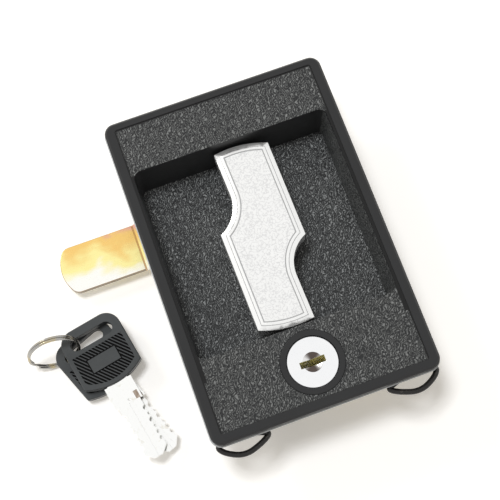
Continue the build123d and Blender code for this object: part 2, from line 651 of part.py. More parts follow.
# Cylinder barrel with wafer channels, flats and a groove for its clip
with BuildPart() as cylinder_barrel:
    with BuildSketch(Plane(origin=(0, cylinder_y, barrel_seat))):
        Circle(BARREL_HEAD_RADIUS)
    extrude(amount=barrel_top - barrel_seat)
    chamfer(cylinder_barrel.faces().sort_by(Axis.Z)[-1].edges(), EDGE_BREAK)
    with BuildSketch(Plane(origin=(0, cylinder_y, barrel_seat))):
        Circle(BARREL_RADIUS)
        Rectangle(2 * BARREL_RADIUS + OVERCUT, 2 * BARREL_FLAT, mode=Mode.INTERSECT)
    extrude(amount=-BARREL_LENGTH)
    with BuildSketch(Plane(origin=(0, cylinder_y, barrel_boss_back - PRESS_GAP))):
        Circle(BARREL_RADIUS + OVERCUT)
        Circle(GROOVE_RADIUS, mode=Mode.SUBTRACT)
    extrude(amount=-(CLIP_THICKNESS + 2 * PRESS_GAP), mode=Mode.SUBTRACT)
    with BuildSketch(Plane(origin=(0, cylinder_y, plug_step - SLIDE_GAP))):
        Circle(PLUG_FACE_RADIUS + RUNNING_GAP)
    extrude(amount=barrel_top - plug_step + SLIDE_GAP, mode=Mode.SUBTRACT)
    with BuildSketch(Plane(origin=(0, cylinder_y, barrel_back))):
        Circle(PLUG_RADIUS + RUNNING_GAP)
    extrude(amount=BARREL_LENGTH, mode=Mode.SUBTRACT)
    with BuildSketch(Plane(origin=(0, cylinder_y, plug_face - WAFER_FIRST_DEPTH + WAFER_PITCH / 2))):
        Rectangle(2 * (PLUG_RADIUS + CHANNEL_DEPTH), WAFER_WIDTH + 2 * FREE_GAP)
    extrude(amount=-WAFER_COUNT * WAFER_PITCH, mode=Mode.SUBTRACT)
save(cylinder_barrel.part, "cylinder_barrel")

# Horseshoe clip that holds the barrel behind its boss
with BuildPart() as barrel_clip:
    with BuildSketch(Plane(origin=(0, cylinder_y, barrel_boss_back - 2 * PRESS_GAP))):
        Circle(CLIP_RADIUS)
        with Locations((0, CLIP_RADIUS + CLIP_LEG)):
            Rectangle(2 * CLIP_RADIUS, 2 * CLIP_RADIUS, mode=Mode.SUBTRACT)
        Circle(GROOVE_RADIUS + PRESS_GAP, mode=Mode.SUBTRACT)
        with Locations((0, CLIP_RADIUS / 2)):
            Rectangle(2 * (GROOVE_RADIUS + PRESS_GAP), CLIP_RADIUS, mode=Mode.SUBTRACT)
    extrude(amount=-(CLIP_THICKNESS - 2 * PRESS_GAP))
save(barrel_clip.part, "barrel_clip")

# Plug: the silver face turns with the key, and the wafers slide across its body
wafer_levels = [plug_face - WAFER_FIRST_DEPTH - WAFER_PITCH * i for i in range(WAFER_COUNT)]
tail_end = cam_root_bottom + SLIDE_GAP
ear_y = WAFER_WIDTH / 2 + WAFER_EAR / 2
with BuildPart() as plug:
    with BuildSketch(Plane(origin=(0, cylinder_y, plug_step))):
        Circle(PLUG_FACE_RADIUS)
    extrude(amount=PLUG_FACE_THICKNESS)
    chamfer(plug.faces().sort_by(Axis.Z)[-1].edges(), EDGE_BREAK)
    with BuildSketch(Plane(origin=(0, cylinder_y, plug_step))):
        Circle(PLUG_RADIUS)
    extrude(amount=-(plug_step - plug_back))
    with BuildSketch(Plane(origin=(0, cylinder_y, plug_back))):
        RectangleRounded(PLUG_TAIL, PLUG_TAIL, EDGE_BREAK)
    extrude(amount=-(plug_back - tail_end))
    # dimple that leads the key in
    with Locations((0, cylinder_y, plug_face - DIMPLE_DEPTH / 2)):
        Cone(KEYWAY_HEIGHT / 2, DIMPLE_RADIUS, DIMPLE_DEPTH, mode=Mode.SUBTRACT)
    with BuildSketch(Plane(origin=(0, cylinder_y, plug_face))):
        Rectangle(KEYWAY_WIDTH, KEYWAY_HEIGHT)
    extrude(amount=-KEYWAY_DEPTH, mode=Mode.SUBTRACT)
    # slots for the wafers, with a pocket beside each for its spring
    for level in wafer_levels:
        with BuildSketch(Plane(origin=(0, cylinder_y, level - SLIDE_GAP / 2))):
            Rectangle(2 * PLUG_RADIUS + OVERCUT, WAFER_WIDTH + SLIDE_GAP)
            with Locations(((WAFER_EAR_LENGTH - WAFER_SPRING_LENGTH) / 2, ear_y)):
                Rectangle(
                    WAFER_EAR_LENGTH + WAFER_SPRING_LENGTH + 4 * SLIDE_GAP,
                    WAFER_EAR + SLIDE_GAP,
                )
        extrude(amount=-(WAFER_THICKNESS + SLIDE_GAP), mode=Mode.SUBTRACT)
    with BuildSketch(Plane(origin=(0, cylinder_y, tail_end))):
        Circle(CAM_SCREW_RADIUS + PRESS_GAP)
    extrude(amount=CAM_SCREW_LENGTH - CAM_WASHER_THICKNESS - SLIDE_GAP / 2, mode=Mode.SUBTRACT)
save(plug.part, "plug")

# Wafers, drawn as a fitting key holds them: flush inside the plug
with BuildPart() as wafers:
    for level in wafer_levels:
        with BuildSketch(Plane(origin=(0, cylinder_y, level - SLIDE_GAP))):
            Rectangle(WAFER_LENGTH, WAFER_WIDTH)
            with Locations((WAFER_EAR_LENGTH / 2, ear_y)):
                Rectangle(WAFER_EAR_LENGTH, WAFER_EAR)
            Rectangle(KEYWAY_WIDTH, KEYWAY_HEIGHT + SLIDE_GAP, mode=Mode.SUBTRACT)
        extrude(amount=-WAFER_THICKNESS)
save(wafers.part, "wafers")

# Wafer springs, one beside each wafer, pushing on its ear
with BuildPart() as wafer_springs:
    for level in wafer_levels:
        spring_z = level - SLIDE_GAP - WAFER_THICKNESS / 2
        with BuildSketch(Plane(origin=(-SLIDE_GAP, cylinder_y + ear_y, spring_z), z_dir=(-1, 0, 0))):
            RegularPolygon(WAFER_SPRING_RADIUS, WAFER_SPRING_SIDES)
        extrude(amount=WAFER_SPRING_LENGTH)
save(wafer_springs.part, "wafer_springs")

# Blocking cam: cranked up to the lock disc's level
wedge_x = 2 * cam_reach * cos(radians(CAM_HALF_ANGLE))
wedge_y = 2 * cam_reach * sin(radians(CAM_HALF_ANGLE))
cam_rise = disc_top - cam_root_top
cam_rise_end = CAM_BEND_START + cam_rise / tan(radians(CAM_BEND_ANGLE))
cam_bend = CAM_THICKNESS * tan(radians(CAM_BEND_ANGLE / 2))
cam_neck_length = CAM_NECK_SHARE * cam_reach
with BuildPart() as blocking_cam:
    with BuildSketch(Plane(origin=(0, cylinder_y, cam_root_bottom - OVERCUT))):
        Polygon((0, 0), (wedge_x, -wedge_y), (wedge_x, wedge_y), align=None)
        Circle(cam_reach, mode=Mode.INTERSECT)
        Circle(CAM_ROOT_RADIUS)
        with Locations((cam_neck_length / 2, 0)):
            Rectangle(cam_neck_length, CAM_NECK_WIDTH)
        Rectangle(PLUG_TAIL + SLIDE_GAP, PLUG_TAIL + SLIDE_GAP, mode=Mode.SUBTRACT)
    extrude(amount=cam_rise + CAM_THICKNESS + 2 * OVERCUT)
    with BuildSketch(Plane(origin=(0, cylinder_y, 0), x_dir=(1, 0, 0), z_dir=(0, -1, 0))):
        with BuildLine():
            Polyline(
                (-CAM_ROOT_RADIUS - OVERCUT, cam_root_top),
                (CAM_BEND_START, cam_root_top),
                (cam_rise_end, disc_top),
                (cam_reach + OVERCUT, disc_top),
                (cam_reach + OVERCUT, disc_top - CAM_THICKNESS),
                (cam_rise_end + cam_bend, disc_top - CAM_THICKNESS),
                (CAM_BEND_START + cam_bend, cam_root_bottom),
                (-CAM_ROOT_RADIUS - OVERCUT, cam_root_bottom),
                close=True,
            )
        make_face()
    extrude(amount=cam_reach, both=True, mode=Mode.INTERSECT)
save(blocking_cam.part, "blocking_cam")

# Washer and screw on the plug's tail
with BuildPart() as cam_washer:
    with BuildSketch(Plane(origin=(0, cylinder_y, cam_root_bottom - CAM_WASHER_THICKNESS))):
        Circle(CAM_WASHER_RADIUS)
        Circle(CAM_SCREW_RADIUS + SLIDE_GAP, mode=Mode.SUBTRACT)
    extrude(amount=CAM_WASHER_THICKNESS)
save(cam_washer.part, "cam_washer")

screw_seat = cam_root_bottom - CAM_WASHER_THICKNESS
with BuildPart() as cam_screw:
    with BuildSketch(Plane(origin=(0, cylinder_y, screw_seat))):
        Circle(CAM_SCREW_HEAD_RADIUS)
    extrude(amount=-CAM_SCREW_HEAD_HEIGHT)
    chamfer(cam_screw.faces().sort_by(Axis.Z)[0].edges(), CAM_SCREW_HEAD_CROWN)
    with BuildSketch(Plane(origin=(0, cylinder_y, screw_seat))):
        Circle(CAM_SCREW_RADIUS)
    extrude(amount=CAM_SCREW_LENGTH - 2 * SLIDE_GAP)
    with BuildSketch(Plane(origin=(0, cylinder_y, screw_seat - CAM_SCREW_HEAD_HEIGHT))):
        Rectangle(CAM_SCREW_RECESS_LENGTH, CAM_SCREW_RECESS_WIDTH)
        Rectangle(CAM_SCREW_RECESS_WIDTH, CAM_SCREW_RECESS_LENGTH)
    extrude(amount=CAM_SCREW_RECESS_DEPTH, mode=Mode.SUBTRACT)
save(cam_screw.part, "cam_screw")

# Wire clips: one spring wire each, its two ends meeting inside the lug
wire_outer_x = wire_lug_x + WIRE_LUG_LENGTH / 2 + WIRE_OUTER_GAP
wire_inner_x = wire_lug_x - WIRE_LUG_LENGTH / 2 - WIRE_INNER_GAP
for side, name in ((-1, "wire_clip_left"), (1, "wire_clip_right")):
    with BuildPart() as wire_clip:
        with BuildLine(Plane.XY.offset(wire_z)) as wire_path:
            FilletPolyline(
                (side * (wire_lug_x + SLIDE_GAP), wire_lug_y),
                (side * wire_outer_x, wire_lug_y),
                (side * (wire_lug_x + WIRE_SHOULDER[0]), wire_lug_y + WIRE_SHOULDER[1]),
                (side * (wire_lug_x + WIRE_ELBOW[0]), wire_lug_y + WIRE_ELBOW[1]),
                (side * (wire_lug_x + WIRE_HEEL[0]), wire_lug_y + WIRE_HEEL[1]),
                (side * (wire_lug_x + WIRE_TIP[0]), wire_lug_y + WIRE_TIP[1]),
                (side * wire_inner_x, wire_lug_y + WIRE_TIP[1] + WIRE_TIP_RETURN),
                (side * wire_inner_x, wire_lug_y),
                (side * (wire_lug_x - SLIDE_GAP), wire_lug_y),
                radius=WIRE_BENDS,
            )
        with BuildSketch(Plane(origin=wire_path.line @ 0, z_dir=wire_path.line % 0)):
            RegularPolygon(WIRE_RADIUS, WIRE_SIDES)
        sweep(path=wire_path.line)
    save(wire_clip.part, name)

# Keys: a nickel blade with its tang moulded into a plastic bow
key_2_middle = table + 4 * RING_WIRE + KEY_BOW_THICKNESS / 2
key_1_middle = key_2_middle + KEY_BOW_THICKNESS + KEY_STACK_GAP
key_planes = {
    "key_1": Plane(
        origin=(*key_1_place, key_1_middle),
        x_dir=(cos(radians(KEY_1_TURN)), sin(radians(KEY_1_TURN)), 0),
        z_dir=(0, 0, 1),
    ),
    "key_2": Plane(
        origin=(*key_2_place, key_2_middle),
        x_dir=(cos(radians(KEY_2_TURN)), sin(radians(KEY_2_TURN)), 0),
        z_dir=(0, 0, 1),
    ),
}
blade_start = -KEY_BOW_BULGE
blade_end = blade_start - KEY_BLADE_LENGTH
shoulder_end = blade_start - KEY_SHOULDER_LENGTH
tang_start = blade_start + KEY_TANG_LENGTH
recess_u = (KEY_SHOULDER_WIDTH - KEY_RECESS_WIDTH) / 2 - KEY_RECESS_FROM_EDGE
bite_places = [shoulder_end - WAFER_FIRST_DEPTH - WAFER_PITCH * i for i in range(WAFER_COUNT - 1)]
bite_depths = [KEY_BITE_DEPTHS[i % len(KEY_BITE_DEPTHS)] for i in range(WAFER_COUNT - 1)]
field_top = KEY_SLOT_V - KEY_SLOT_WIDTH / 2 - KEY_FIELD_BORDER
rib_count = round(2 * KEY_BOW_HEIGHT / KEY_RIB_PITCH)
for name, key_plane in key_planes.items():
    with BuildPart(key_plane) as key_blade:
        with BuildSketch(key_plane) as blade_outline:
            with Locations((0, (blade_end + shoulder_end) / 2)):
                Rectangle(KEY_BLADE_WIDTH, shoulder_end - blade_end)
            chamfer(blade_outline.vertices().group_by(Axis.Y)[0], KEY_TIP_CHAMFER)
            for place, right_depth, left_depth in zip(bite_places, bite_depths, reversed(bite_depths)):
                for edge_side, depth in ((1, right_depth), (-1, left_depth)):
                    mouth = KEY_BITE_WIDTH + 4 * depth / tan(radians(KEY_BITE_ANGLE))
                    with Locations(Location((edge_side * KEY_BLADE_WIDTH / 2, place), edge_side * 90)):
                        Trapezoid(mouth, 2 * depth, KEY_BITE_ANGLE, mode=Mode.SUBTRACT)
            with Locations((0, (blade_start + shoulder_end) / 2)):
                Rectangle(KEY_SHOULDER_WIDTH, KEY_SHOULDER_LENGTH)
            with Locations((0, (blade_start + tang_start) / 2)):
                Rectangle(KEY_TANG_WIDTH, KEY_TANG_LENGTH)
        extrude(amount=KEY_BLADE_THICKNESS / 2, both=True)
        # on each face a groove along the blade, and a recess and a centre mark in the shoulder
        for face_side in (-1, 1):
            blade_face = face_side * KEY_BLADE_THICKNESS / 2
            with BuildSketch(key_plane.offset(blade_face - face_side * KEY_GROOVE_DEPTH)):
                with Locations((face_side * KEY_GROOVE_WIDTH / 2, (blade_end + shoulder_end) / 2)):
                    Rectangle(KEY_GROOVE_WIDTH, shoulder_end - blade_end)
            extrude(amount=face_side * KEY_BLADE_THICKNESS, mode=Mode.SUBTRACT)
            with BuildSketch(key_plane.offset(blade_face - face_side * KEY_RECESS_DEPTH)):
                with Locations((face_side * recess_u, shoulder_end + KEY_RECESS_LENGTH / 2)):
                    Rectangle(KEY_RECESS_WIDTH, KEY_RECESS_LENGTH)
            extrude(amount=face_side * KEY_BLADE_THICKNESS, mode=Mode.SUBTRACT)
            with BuildSketch(key_plane.offset(blade_face)):
                with Locations((face_side * KEY_GROOVE_WIDTH / 2, shoulder_end + 2 * KEY_PIT_RADIUS)):
                    Circle(KEY_PIT_RADIUS)
            extrude(amount=-face_side * KEY_PIT_DEPTH, taper=KEY_PIT_TAPER, mode=Mode.SUBTRACT)
    save(key_blade.part, f"{name}_blade")

    with BuildPart(key_plane) as key_bow:
        with BuildSketch(key_plane.offset(-KEY_BOW_THICKNESS / 2)) as bow_outline:
            with BuildLine():
                ThreePointArc((-KEY_BOW_WIDTH / 2, 0), (0, -KEY_BOW_BULGE), (KEY_BOW_WIDTH / 2, 0))
                Polyline(
                    (KEY_BOW_WIDTH / 2, 0),
                    (KEY_BOW_WIDTH / 2, KEY_BOW_HEIGHT),
                    (-KEY_BOW_WIDTH / 2, KEY_BOW_HEIGHT),
                    (-KEY_BOW_WIDTH / 2, 0),
                )
            make_face()
            fillet(bow_outline.vertices().group_by(Axis.Y)[-1], KEY_BOW_CORNER)
            fillet(bow_outline.vertices().group_by(Axis.Y)[0], KEY_BOW_LOWER_CORNER)
        extrude(amount=KEY_BOW_THICKNESS)
        chamfer(key_bow.faces().filter_by(Axis.Z).edges(), KEY_BOW_BEVEL)
        with BuildSketch(key_plane.offset(-KEY_BOW_THICKNESS / 2)):
            with Locations((0, KEY_SLOT_V)):
                SlotOverall(KEY_SLOT_LENGTH, KEY_SLOT_WIDTH)
        extrude(amount=KEY_BOW_THICKNESS, mode=Mode.SUBTRACT)
        # grooves between the finger ribs, around the bare plaque
        for face_side in (-1, 1):
            with BuildSketch(key_plane.offset(face_side * (KEY_BOW_THICKNESS / 2 - KEY_FIELD_DEPTH))):
                with GridLocations(KEY_RIB_PITCH, 1, rib_count, 1):
                    Rectangle(
                        KEY_RIB_PITCH - KEY_RIB_WIDTH,
                        4 * KEY_BOW_HEIGHT,
                        rotation=KEY_RIB_ANGLE,
                    )
                with BuildLine():
                    field_side = KEY_BOW_WIDTH / 2 - KEY_FIELD_BORDER
                    field_low = KEY_FIELD_BORDER
                    ThreePointArc(
                        (-field_side, field_low),
                        (0, KEY_FIELD_BORDER - KEY_BOW_BULGE),
                        (field_side, field_low),
                    )
                    Polyline(
                        (field_side, field_low),
                        (field_side, field_top),
                        (-field_side, field_top),
                        (-field_side, field_low),
                    )
                make_face(mode=Mode.INTERSECT)
                with Locations((0, KEY_PLAQUE_V)):
                    Rectangle(
                        KEY_PLAQUE_WIDTH + 2 * KEY_PLAQUE_GROOVE,
                        KEY_PLAQUE_HEIGHT + 2 * KEY_PLAQUE_GROOVE,
                    )
                    Rectangle(KEY_PLAQUE_WIDTH, KEY_PLAQUE_HEIGHT, mode=Mode.SUBTRACT)
            extrude(amount=face_side * KEY_BOW_THICKNESS, mode=Mode.SUBTRACT)
        # pocket that holds the blade's tang
        with BuildSketch(key_plane.offset(-KEY_BLADE_THICKNESS / 2 - PRESS_GAP)):
            with Locations((0, (2 * blade_start + KEY_TANG_LENGTH) / 2)):
                Rectangle(KEY_TANG_WIDTH + 2 * PRESS_GAP, KEY_TANG_LENGTH + 2 * PRESS_GAP)
        extrude(amount=KEY_BLADE_THICKNESS + 2 * PRESS_GAP, mode=Mode.SUBTRACT)
    save(key_bow.part, f"{name}_bow")

# Key ring: two turns of wire side by side, leaning through both bows' slots
ring_radius_outside = RING_RADIUS + RING_WIRE
ring_centre = (*ring_place, table + ring_radius_outside * sin(radians(RING_LEAN)) + RING_WIRE)
ring_up = Vector(0, cos(radians(RING_LEAN)), sin(radians(RING_LEAN)))
ring_axis = Vector(1, 0, 0).cross(ring_up)
with BuildPart() as key_ring:
    with BuildSketch(Plane(origin=ring_centre, x_dir=(1, 0, 0), z_dir=ring_up)):
        with Locations((RING_RADIUS, RING_WIRE), (RING_RADIUS, -RING_WIRE)):
            RegularPolygon(
                RING_WIRE + PRESS_GAP,
                RING_WIRE_SIDES,
                major_radius=False,
                rotation=180 / RING_WIRE_SIDES,
            )
    revolve(axis=Axis(ring_centre, tuple(ring_axis)))
save(key_ring.part, "key_ring")
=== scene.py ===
# %% [markdown]
# A recessed cabinet lock lies on a white table, with its two keys beside it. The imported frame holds
# every working piece at its real size. This file dresses the frame: it rounds the edges that a casting,
# a punched plate or a moulding really has, makes the wires and threads that are plain in the frame, and
# gives each piece the finish that its maker gave it.

# %% Load the frame
import json
from math import cos, pi, radians, sin

import bpy
from mathutils import Matrix, Vector


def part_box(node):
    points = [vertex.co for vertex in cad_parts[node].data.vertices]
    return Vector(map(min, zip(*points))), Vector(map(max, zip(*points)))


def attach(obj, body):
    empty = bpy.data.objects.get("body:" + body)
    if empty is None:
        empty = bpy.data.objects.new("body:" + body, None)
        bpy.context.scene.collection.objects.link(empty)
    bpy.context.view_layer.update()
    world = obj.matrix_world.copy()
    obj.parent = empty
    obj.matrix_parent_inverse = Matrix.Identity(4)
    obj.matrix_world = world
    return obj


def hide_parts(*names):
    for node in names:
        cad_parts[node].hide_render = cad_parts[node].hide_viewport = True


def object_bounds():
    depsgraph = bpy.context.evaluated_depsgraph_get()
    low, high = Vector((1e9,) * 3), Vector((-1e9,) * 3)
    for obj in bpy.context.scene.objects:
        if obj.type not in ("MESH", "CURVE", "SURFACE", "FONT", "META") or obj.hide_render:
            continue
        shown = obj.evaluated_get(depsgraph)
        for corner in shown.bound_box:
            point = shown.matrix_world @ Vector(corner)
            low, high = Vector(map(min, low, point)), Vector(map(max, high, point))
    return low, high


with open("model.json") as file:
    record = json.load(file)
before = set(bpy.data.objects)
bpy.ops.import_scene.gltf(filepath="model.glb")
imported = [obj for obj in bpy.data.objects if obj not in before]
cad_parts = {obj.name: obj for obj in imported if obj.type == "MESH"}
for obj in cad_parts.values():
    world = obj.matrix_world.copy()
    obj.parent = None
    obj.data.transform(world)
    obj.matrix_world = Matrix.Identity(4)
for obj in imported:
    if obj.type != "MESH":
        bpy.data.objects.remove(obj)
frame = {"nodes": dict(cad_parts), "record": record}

MM = 0.001
nodes = frame["nodes"]
record = frame["record"]
body_of = {node: body for body, members in record["behaviour"]["bodies"].items() for node in members}
slot_of = {part["node"]: part["material_slot"] for part in record["subparts"]}
cad_box = [list(corner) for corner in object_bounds()]

# %% [markdown]
# The camera comes before any piece, because it decides what has to be good. The photograph looks
# down on the lock from a little below its lower edge, through a long lens. Four flange corners give
# the place, the direction and the lens. A camera looks along its own -Z with +Y up, so its matrix is
# built from the three directions as columns, which leaves no doubt about the roll.

# %% Camera
CAMERA_PLACE = Vector((-34.02, -99.58, 379.94)) * MM
CAMERA_AIM = Vector((-6.46, -0.58, 5.0)) * MM
PICTURE_UP = Vector((0.3324, 0.9056, 0.2636))
PICTURE_SIDE = 500
FOCAL_IN_PIXELS = 1151.2
SENSOR = 36.0

camera_data = bpy.data.cameras.new("camera")
camera_data.sensor_width = SENSOR
camera_data.lens = SENSOR * FOCAL_IN_PIXELS / PICTURE_SIDE
camera = bpy.data.objects.new("camera", camera_data)
bpy.context.collection.objects.link(camera)
forward = (CAMERA_AIM - CAMERA_PLACE).normalized()
right = forward.cross(PICTURE_UP).normalized()
up = right.cross(forward)
camera.matrix_world = Matrix.Translation(CAMERA_PLACE) @ Matrix((right, up, -forward)).transposed().to_4x4()
bpy.context.scene.camera = camera
print("lens", round(camera_data.lens, 1), "mm")

# %% [markdown]
# The studio has a white backdrop that only the camera and the metal see, so that it adds no light of
# its own. What lights the lock from all round is a fainter, warmer fill. The light path tells a shader
# which kind of ray asks, so one switch made from it serves the world here and the table below.

# %% Backdrop and fill
WORLD_FILL = 0.36
FILL_TINT = (1.0, 0.95, 0.87, 1)
BACKDROP_WHITE = (1, 1, 1, 1)


def light_path_switch(tree):
    """Returns a socket that is 1 for rays from the camera, and those that metal and glass send on."""
    path = tree.nodes.new("ShaderNodeLightPath")
    switch = path.outputs["Is Camera Ray"]
    for ray in ("Is Glossy Ray", "Is Transmission Ray"):
        either = tree.nodes.new("ShaderNodeMath")
        either.operation = "MAXIMUM"
        tree.links.new(switch, either.inputs[0])
        tree.links.new(path.outputs[ray], either.inputs[1])
        switch = either.outputs[0]
    return switch


world = bpy.data.worlds.new("studio")
world.use_nodes = True
bpy.context.scene.world = world
world_tree = world.node_tree
fill = world_tree.nodes["Background"]
fill.inputs["Color"].default_value = FILL_TINT
fill.inputs["Strength"].default_value = WORLD_FILL
backdrop = world_tree.nodes.new("ShaderNodeBackground")
backdrop.inputs["Color"].default_value = BACKDROP_WHITE
choice = world_tree.nodes.new("ShaderNodeMixShader")
world_tree.links.new(light_path_switch(world_tree), choice.inputs["Fac"])
world_tree.links.new(fill.outputs[0], choice.inputs[1])
world_tree.links.new(backdrop.outputs[0], choice.inputs[2])
world_tree.links.new(choice.outputs[0], world_tree.nodes["World Output"].inputs["Surface"])
print("fill of", WORLD_FILL, "under a white backdrop")

# %% [markdown]
# A large soft lamp hangs high, a little beyond the lock's far end, so that a short soft shadow falls
# below its lower edge. It is switched off for glossy rays: every flat face of the plated pieces would
# mirror it and clip to white. A smaller warm lamp from the far left does show in gloss, and lights one
# side of each crest of the grain. Places and sides are in metres.

# %% Lamps


def lamp(name, place, side, watts, color):
    """A square lamp that is turned towards the lock."""
    data = bpy.data.lights.new(name, "AREA")
    data.size = side
    data.energy = watts
    data.color = color
    made = bpy.data.objects.new(name, data)
    bpy.context.collection.objects.link(made)
    made.location = place
    made.rotation_euler = (-Vector(place)).to_track_quat("-Z", "Y").to_euler()
    return made


window = lamp("window", place=(-0.19, 0.20, 1.25), side=0.28, watts=9.4, color=(0.98, 0.99, 1.0))
window.visible_glossy = False
grain_lamp = lamp("grain_lamp", place=(-0.55, 0.70, 0.75), side=0.25, watts=2.2, color=(1.0, 0.98, 0.92))
print("lamps:", window.name, "and", grain_lamp.name)

# %% [markdown]
# The table is one white plane just below the lowest piece, and it takes the lock's shadow. Where the
# lamps don't reach it would look grey, so it glows a little for the camera and for metal, and more the
# further it lies from the lock.

# %% Table
TABLE_SIDE = 3.0
TABLE_GAP = 0.02 * MM
TABLE_WHITE = (0.96, 0.96, 0.96, 1)
NEAR_GLOW, FAR_GLOW = 0.25, 0.7
NEAR, FAR = 0.15, 0.8

table_z = cad_box[0][2] - TABLE_GAP
bpy.ops.mesh.primitive_plane_add(size=TABLE_SIDE, location=(0, 0, table_z))
table = bpy.context.object
table.name = "table"
bpy.ops.object.transform_apply(location=True)
table_white = bpy.data.materials.new("table_white")
table_white.use_nodes = True
table_tree = table_white.node_tree
table_shader = table_tree.nodes["Principled BSDF"]
table_shader.inputs["Base Color"].default_value = TABLE_WHITE
table_shader.inputs["Roughness"].default_value = 0.9
table_shader.inputs["Specular IOR Level"].default_value = 0.1
table_shader.inputs["Emission Color"].default_value = FILL_TINT
table_place = table_tree.nodes.new("ShaderNodeTexCoord")
distance = table_tree.nodes.new("ShaderNodeVectorMath")
distance.operation = "LENGTH"
table_tree.links.new(table_place.outputs["Object"], distance.inputs[0])
glow_there = table_tree.nodes.new("ShaderNodeMapRange")
for socket, value in (("From Min", NEAR), ("From Max", FAR), ("To Min", NEAR_GLOW), ("To Max", FAR_GLOW)):
    glow_there.inputs[socket].default_value = value
table_tree.links.new(distance.outputs["Value"], glow_there.inputs["Value"])
glow = table_tree.nodes.new("ShaderNodeMath")
glow.operation = "MULTIPLY"
table_tree.links.new(light_path_switch(table_tree), glow.inputs[0])
table_tree.links.new(glow_there.outputs["Result"], glow.inputs[1])
table_tree.links.new(glow.outputs[0], table_shader.inputs["Emission Strength"])
table.data.materials.append(table_white)
print("table at", round(table_z / MM, 1), "mm")

# %% [markdown]
# A finish is built from the same few steps each time: where the point is on the piece, a pattern
# there, a colour from the pattern, and a height from it that tilts the light. A short method for each
# step keeps the finishes easy to read. The first steps make nodes and join them. Each takes numbers,
# colours or what other steps gave back, and gives back its own output.

# %% Steps that join nodes


class JoiningSteps:
    """A new material, and sums and mixtures made with its nodes."""

    def __init__(self, name, metallic):
        self.material = bpy.data.materials.new(name)
        self.material.use_nodes = True
        self.tree = self.material.node_tree
        self.shader = self.tree.nodes["Principled BSDF"]
        self.shader.inputs["Metallic"].default_value = metallic
        self.place = self.tree.nodes.new("ShaderNodeTexCoord").outputs["Object"]
        self.normal = None

    def feed(self, value, socket):
        if isinstance(value, (int, float)):
            socket.default_value = value
        elif isinstance(value, tuple):
            socket.default_value = (*value, 1)
        else:
            self.tree.links.new(value, socket)

    def math(self, operation, a, b=0.0, c=None, clamp=False):
        made = self.tree.nodes.new("ShaderNodeMath")
        made.operation = operation
        made.use_clamp = clamp
        self.feed(a, made.inputs[0])
        self.feed(b, made.inputs[1])
        if c is not None:
            self.feed(c, made.inputs[2])
        return made.outputs[0]

    def times(self, *values):
        product = values[0]
        for value in values[1:]:
            product = self.math("MULTIPLY", product, value)
        return product

    def between(self, value, low, high):
        """0 below low, 1 above high, and a smooth slope between them."""
        made = self.tree.nodes.new("ShaderNodeMapRange")
        made.interpolation_type = "SMOOTHSTEP"
        self.feed(value, made.inputs["Value"])
        made.inputs["From Min"].default_value = low
        made.inputs["From Max"].default_value = high
        return made.outputs["Result"]

    def mix(self, share, a, b):
        made = self.tree.nodes.new("ShaderNodeMix")
        made.data_type = "RGBA"
        self.feed(share, made.inputs["Factor"])
        color_a, color_b = (socket for socket in made.inputs if socket.type == "RGBA")
        self.feed(a, color_a)
        self.feed(b, color_b)
        return next(socket for socket in made.outputs if socket.type == "RGBA")


print("steps that join nodes are ready")

# %% [markdown]
# All patterns read Object coordinates, which for a piece that sits at the origin are metres in the
# lock's own frame. So a finish can ask how high a point is, how far it lies from an axis, or which way
# the surface faces, and keep a pattern to one place.

# %% Steps that find a place


class PlaceSteps(JoiningSteps):
    """Where a point is, and which way the surface faces there."""

    def axis(self, name):
        split = self.tree.nodes.new("ShaderNodeSeparateXYZ")
        self.tree.links.new(self.place, split.inputs[0])
        return split.outputs[name]

    def level(self, height, slack):
        """1 where the surface is at a height above the panel, within the slack."""
        return self.math("COMPARE", self.axis("Z"), height, slack)

    def facing(self, name):
        """How far the surface faces along X, Y or Z, from -1 to 1."""
        geometry = self.tree.nodes.new("ShaderNodeNewGeometry")
        split = self.tree.nodes.new("ShaderNodeSeparateXYZ")
        self.tree.links.new(geometry.outputs["True Normal"], split.inputs[0])
        return split.outputs[name]

    def around(self, centre_x, centre_y):
        """The distance from an upright axis, and the angle round it."""
        x = self.math("SUBTRACT", self.axis("X"), centre_x)
        y = self.math("SUBTRACT", self.axis("Y"), centre_y)
        squares = self.math("ADD", self.times(x, x), self.times(y, y))
        return self.math("SQRT", squares), self.math("ARCTAN2", y, x)

    def stretched(self, stretch, turn=0.0):
        """Object coordinates stretched along the lock's axes, so that a pattern runs one way."""
        mapping = self.tree.nodes.new("ShaderNodeMapping")
        mapping.inputs["Scale"].default_value = stretch
        mapping.inputs["Rotation"].default_value = (0, 0, turn)
        self.tree.links.new(self.place, mapping.inputs["Vector"])
        return mapping.outputs[0]


print("steps that find a place are ready")

# %% [markdown]
# Four patterns serve for everything here: cloudy noise, the thin crests that folded noise gives, even
# ridges that noise bends, and pebbles. Their sizes are given in millimetres.

# %% Steps that make a pattern


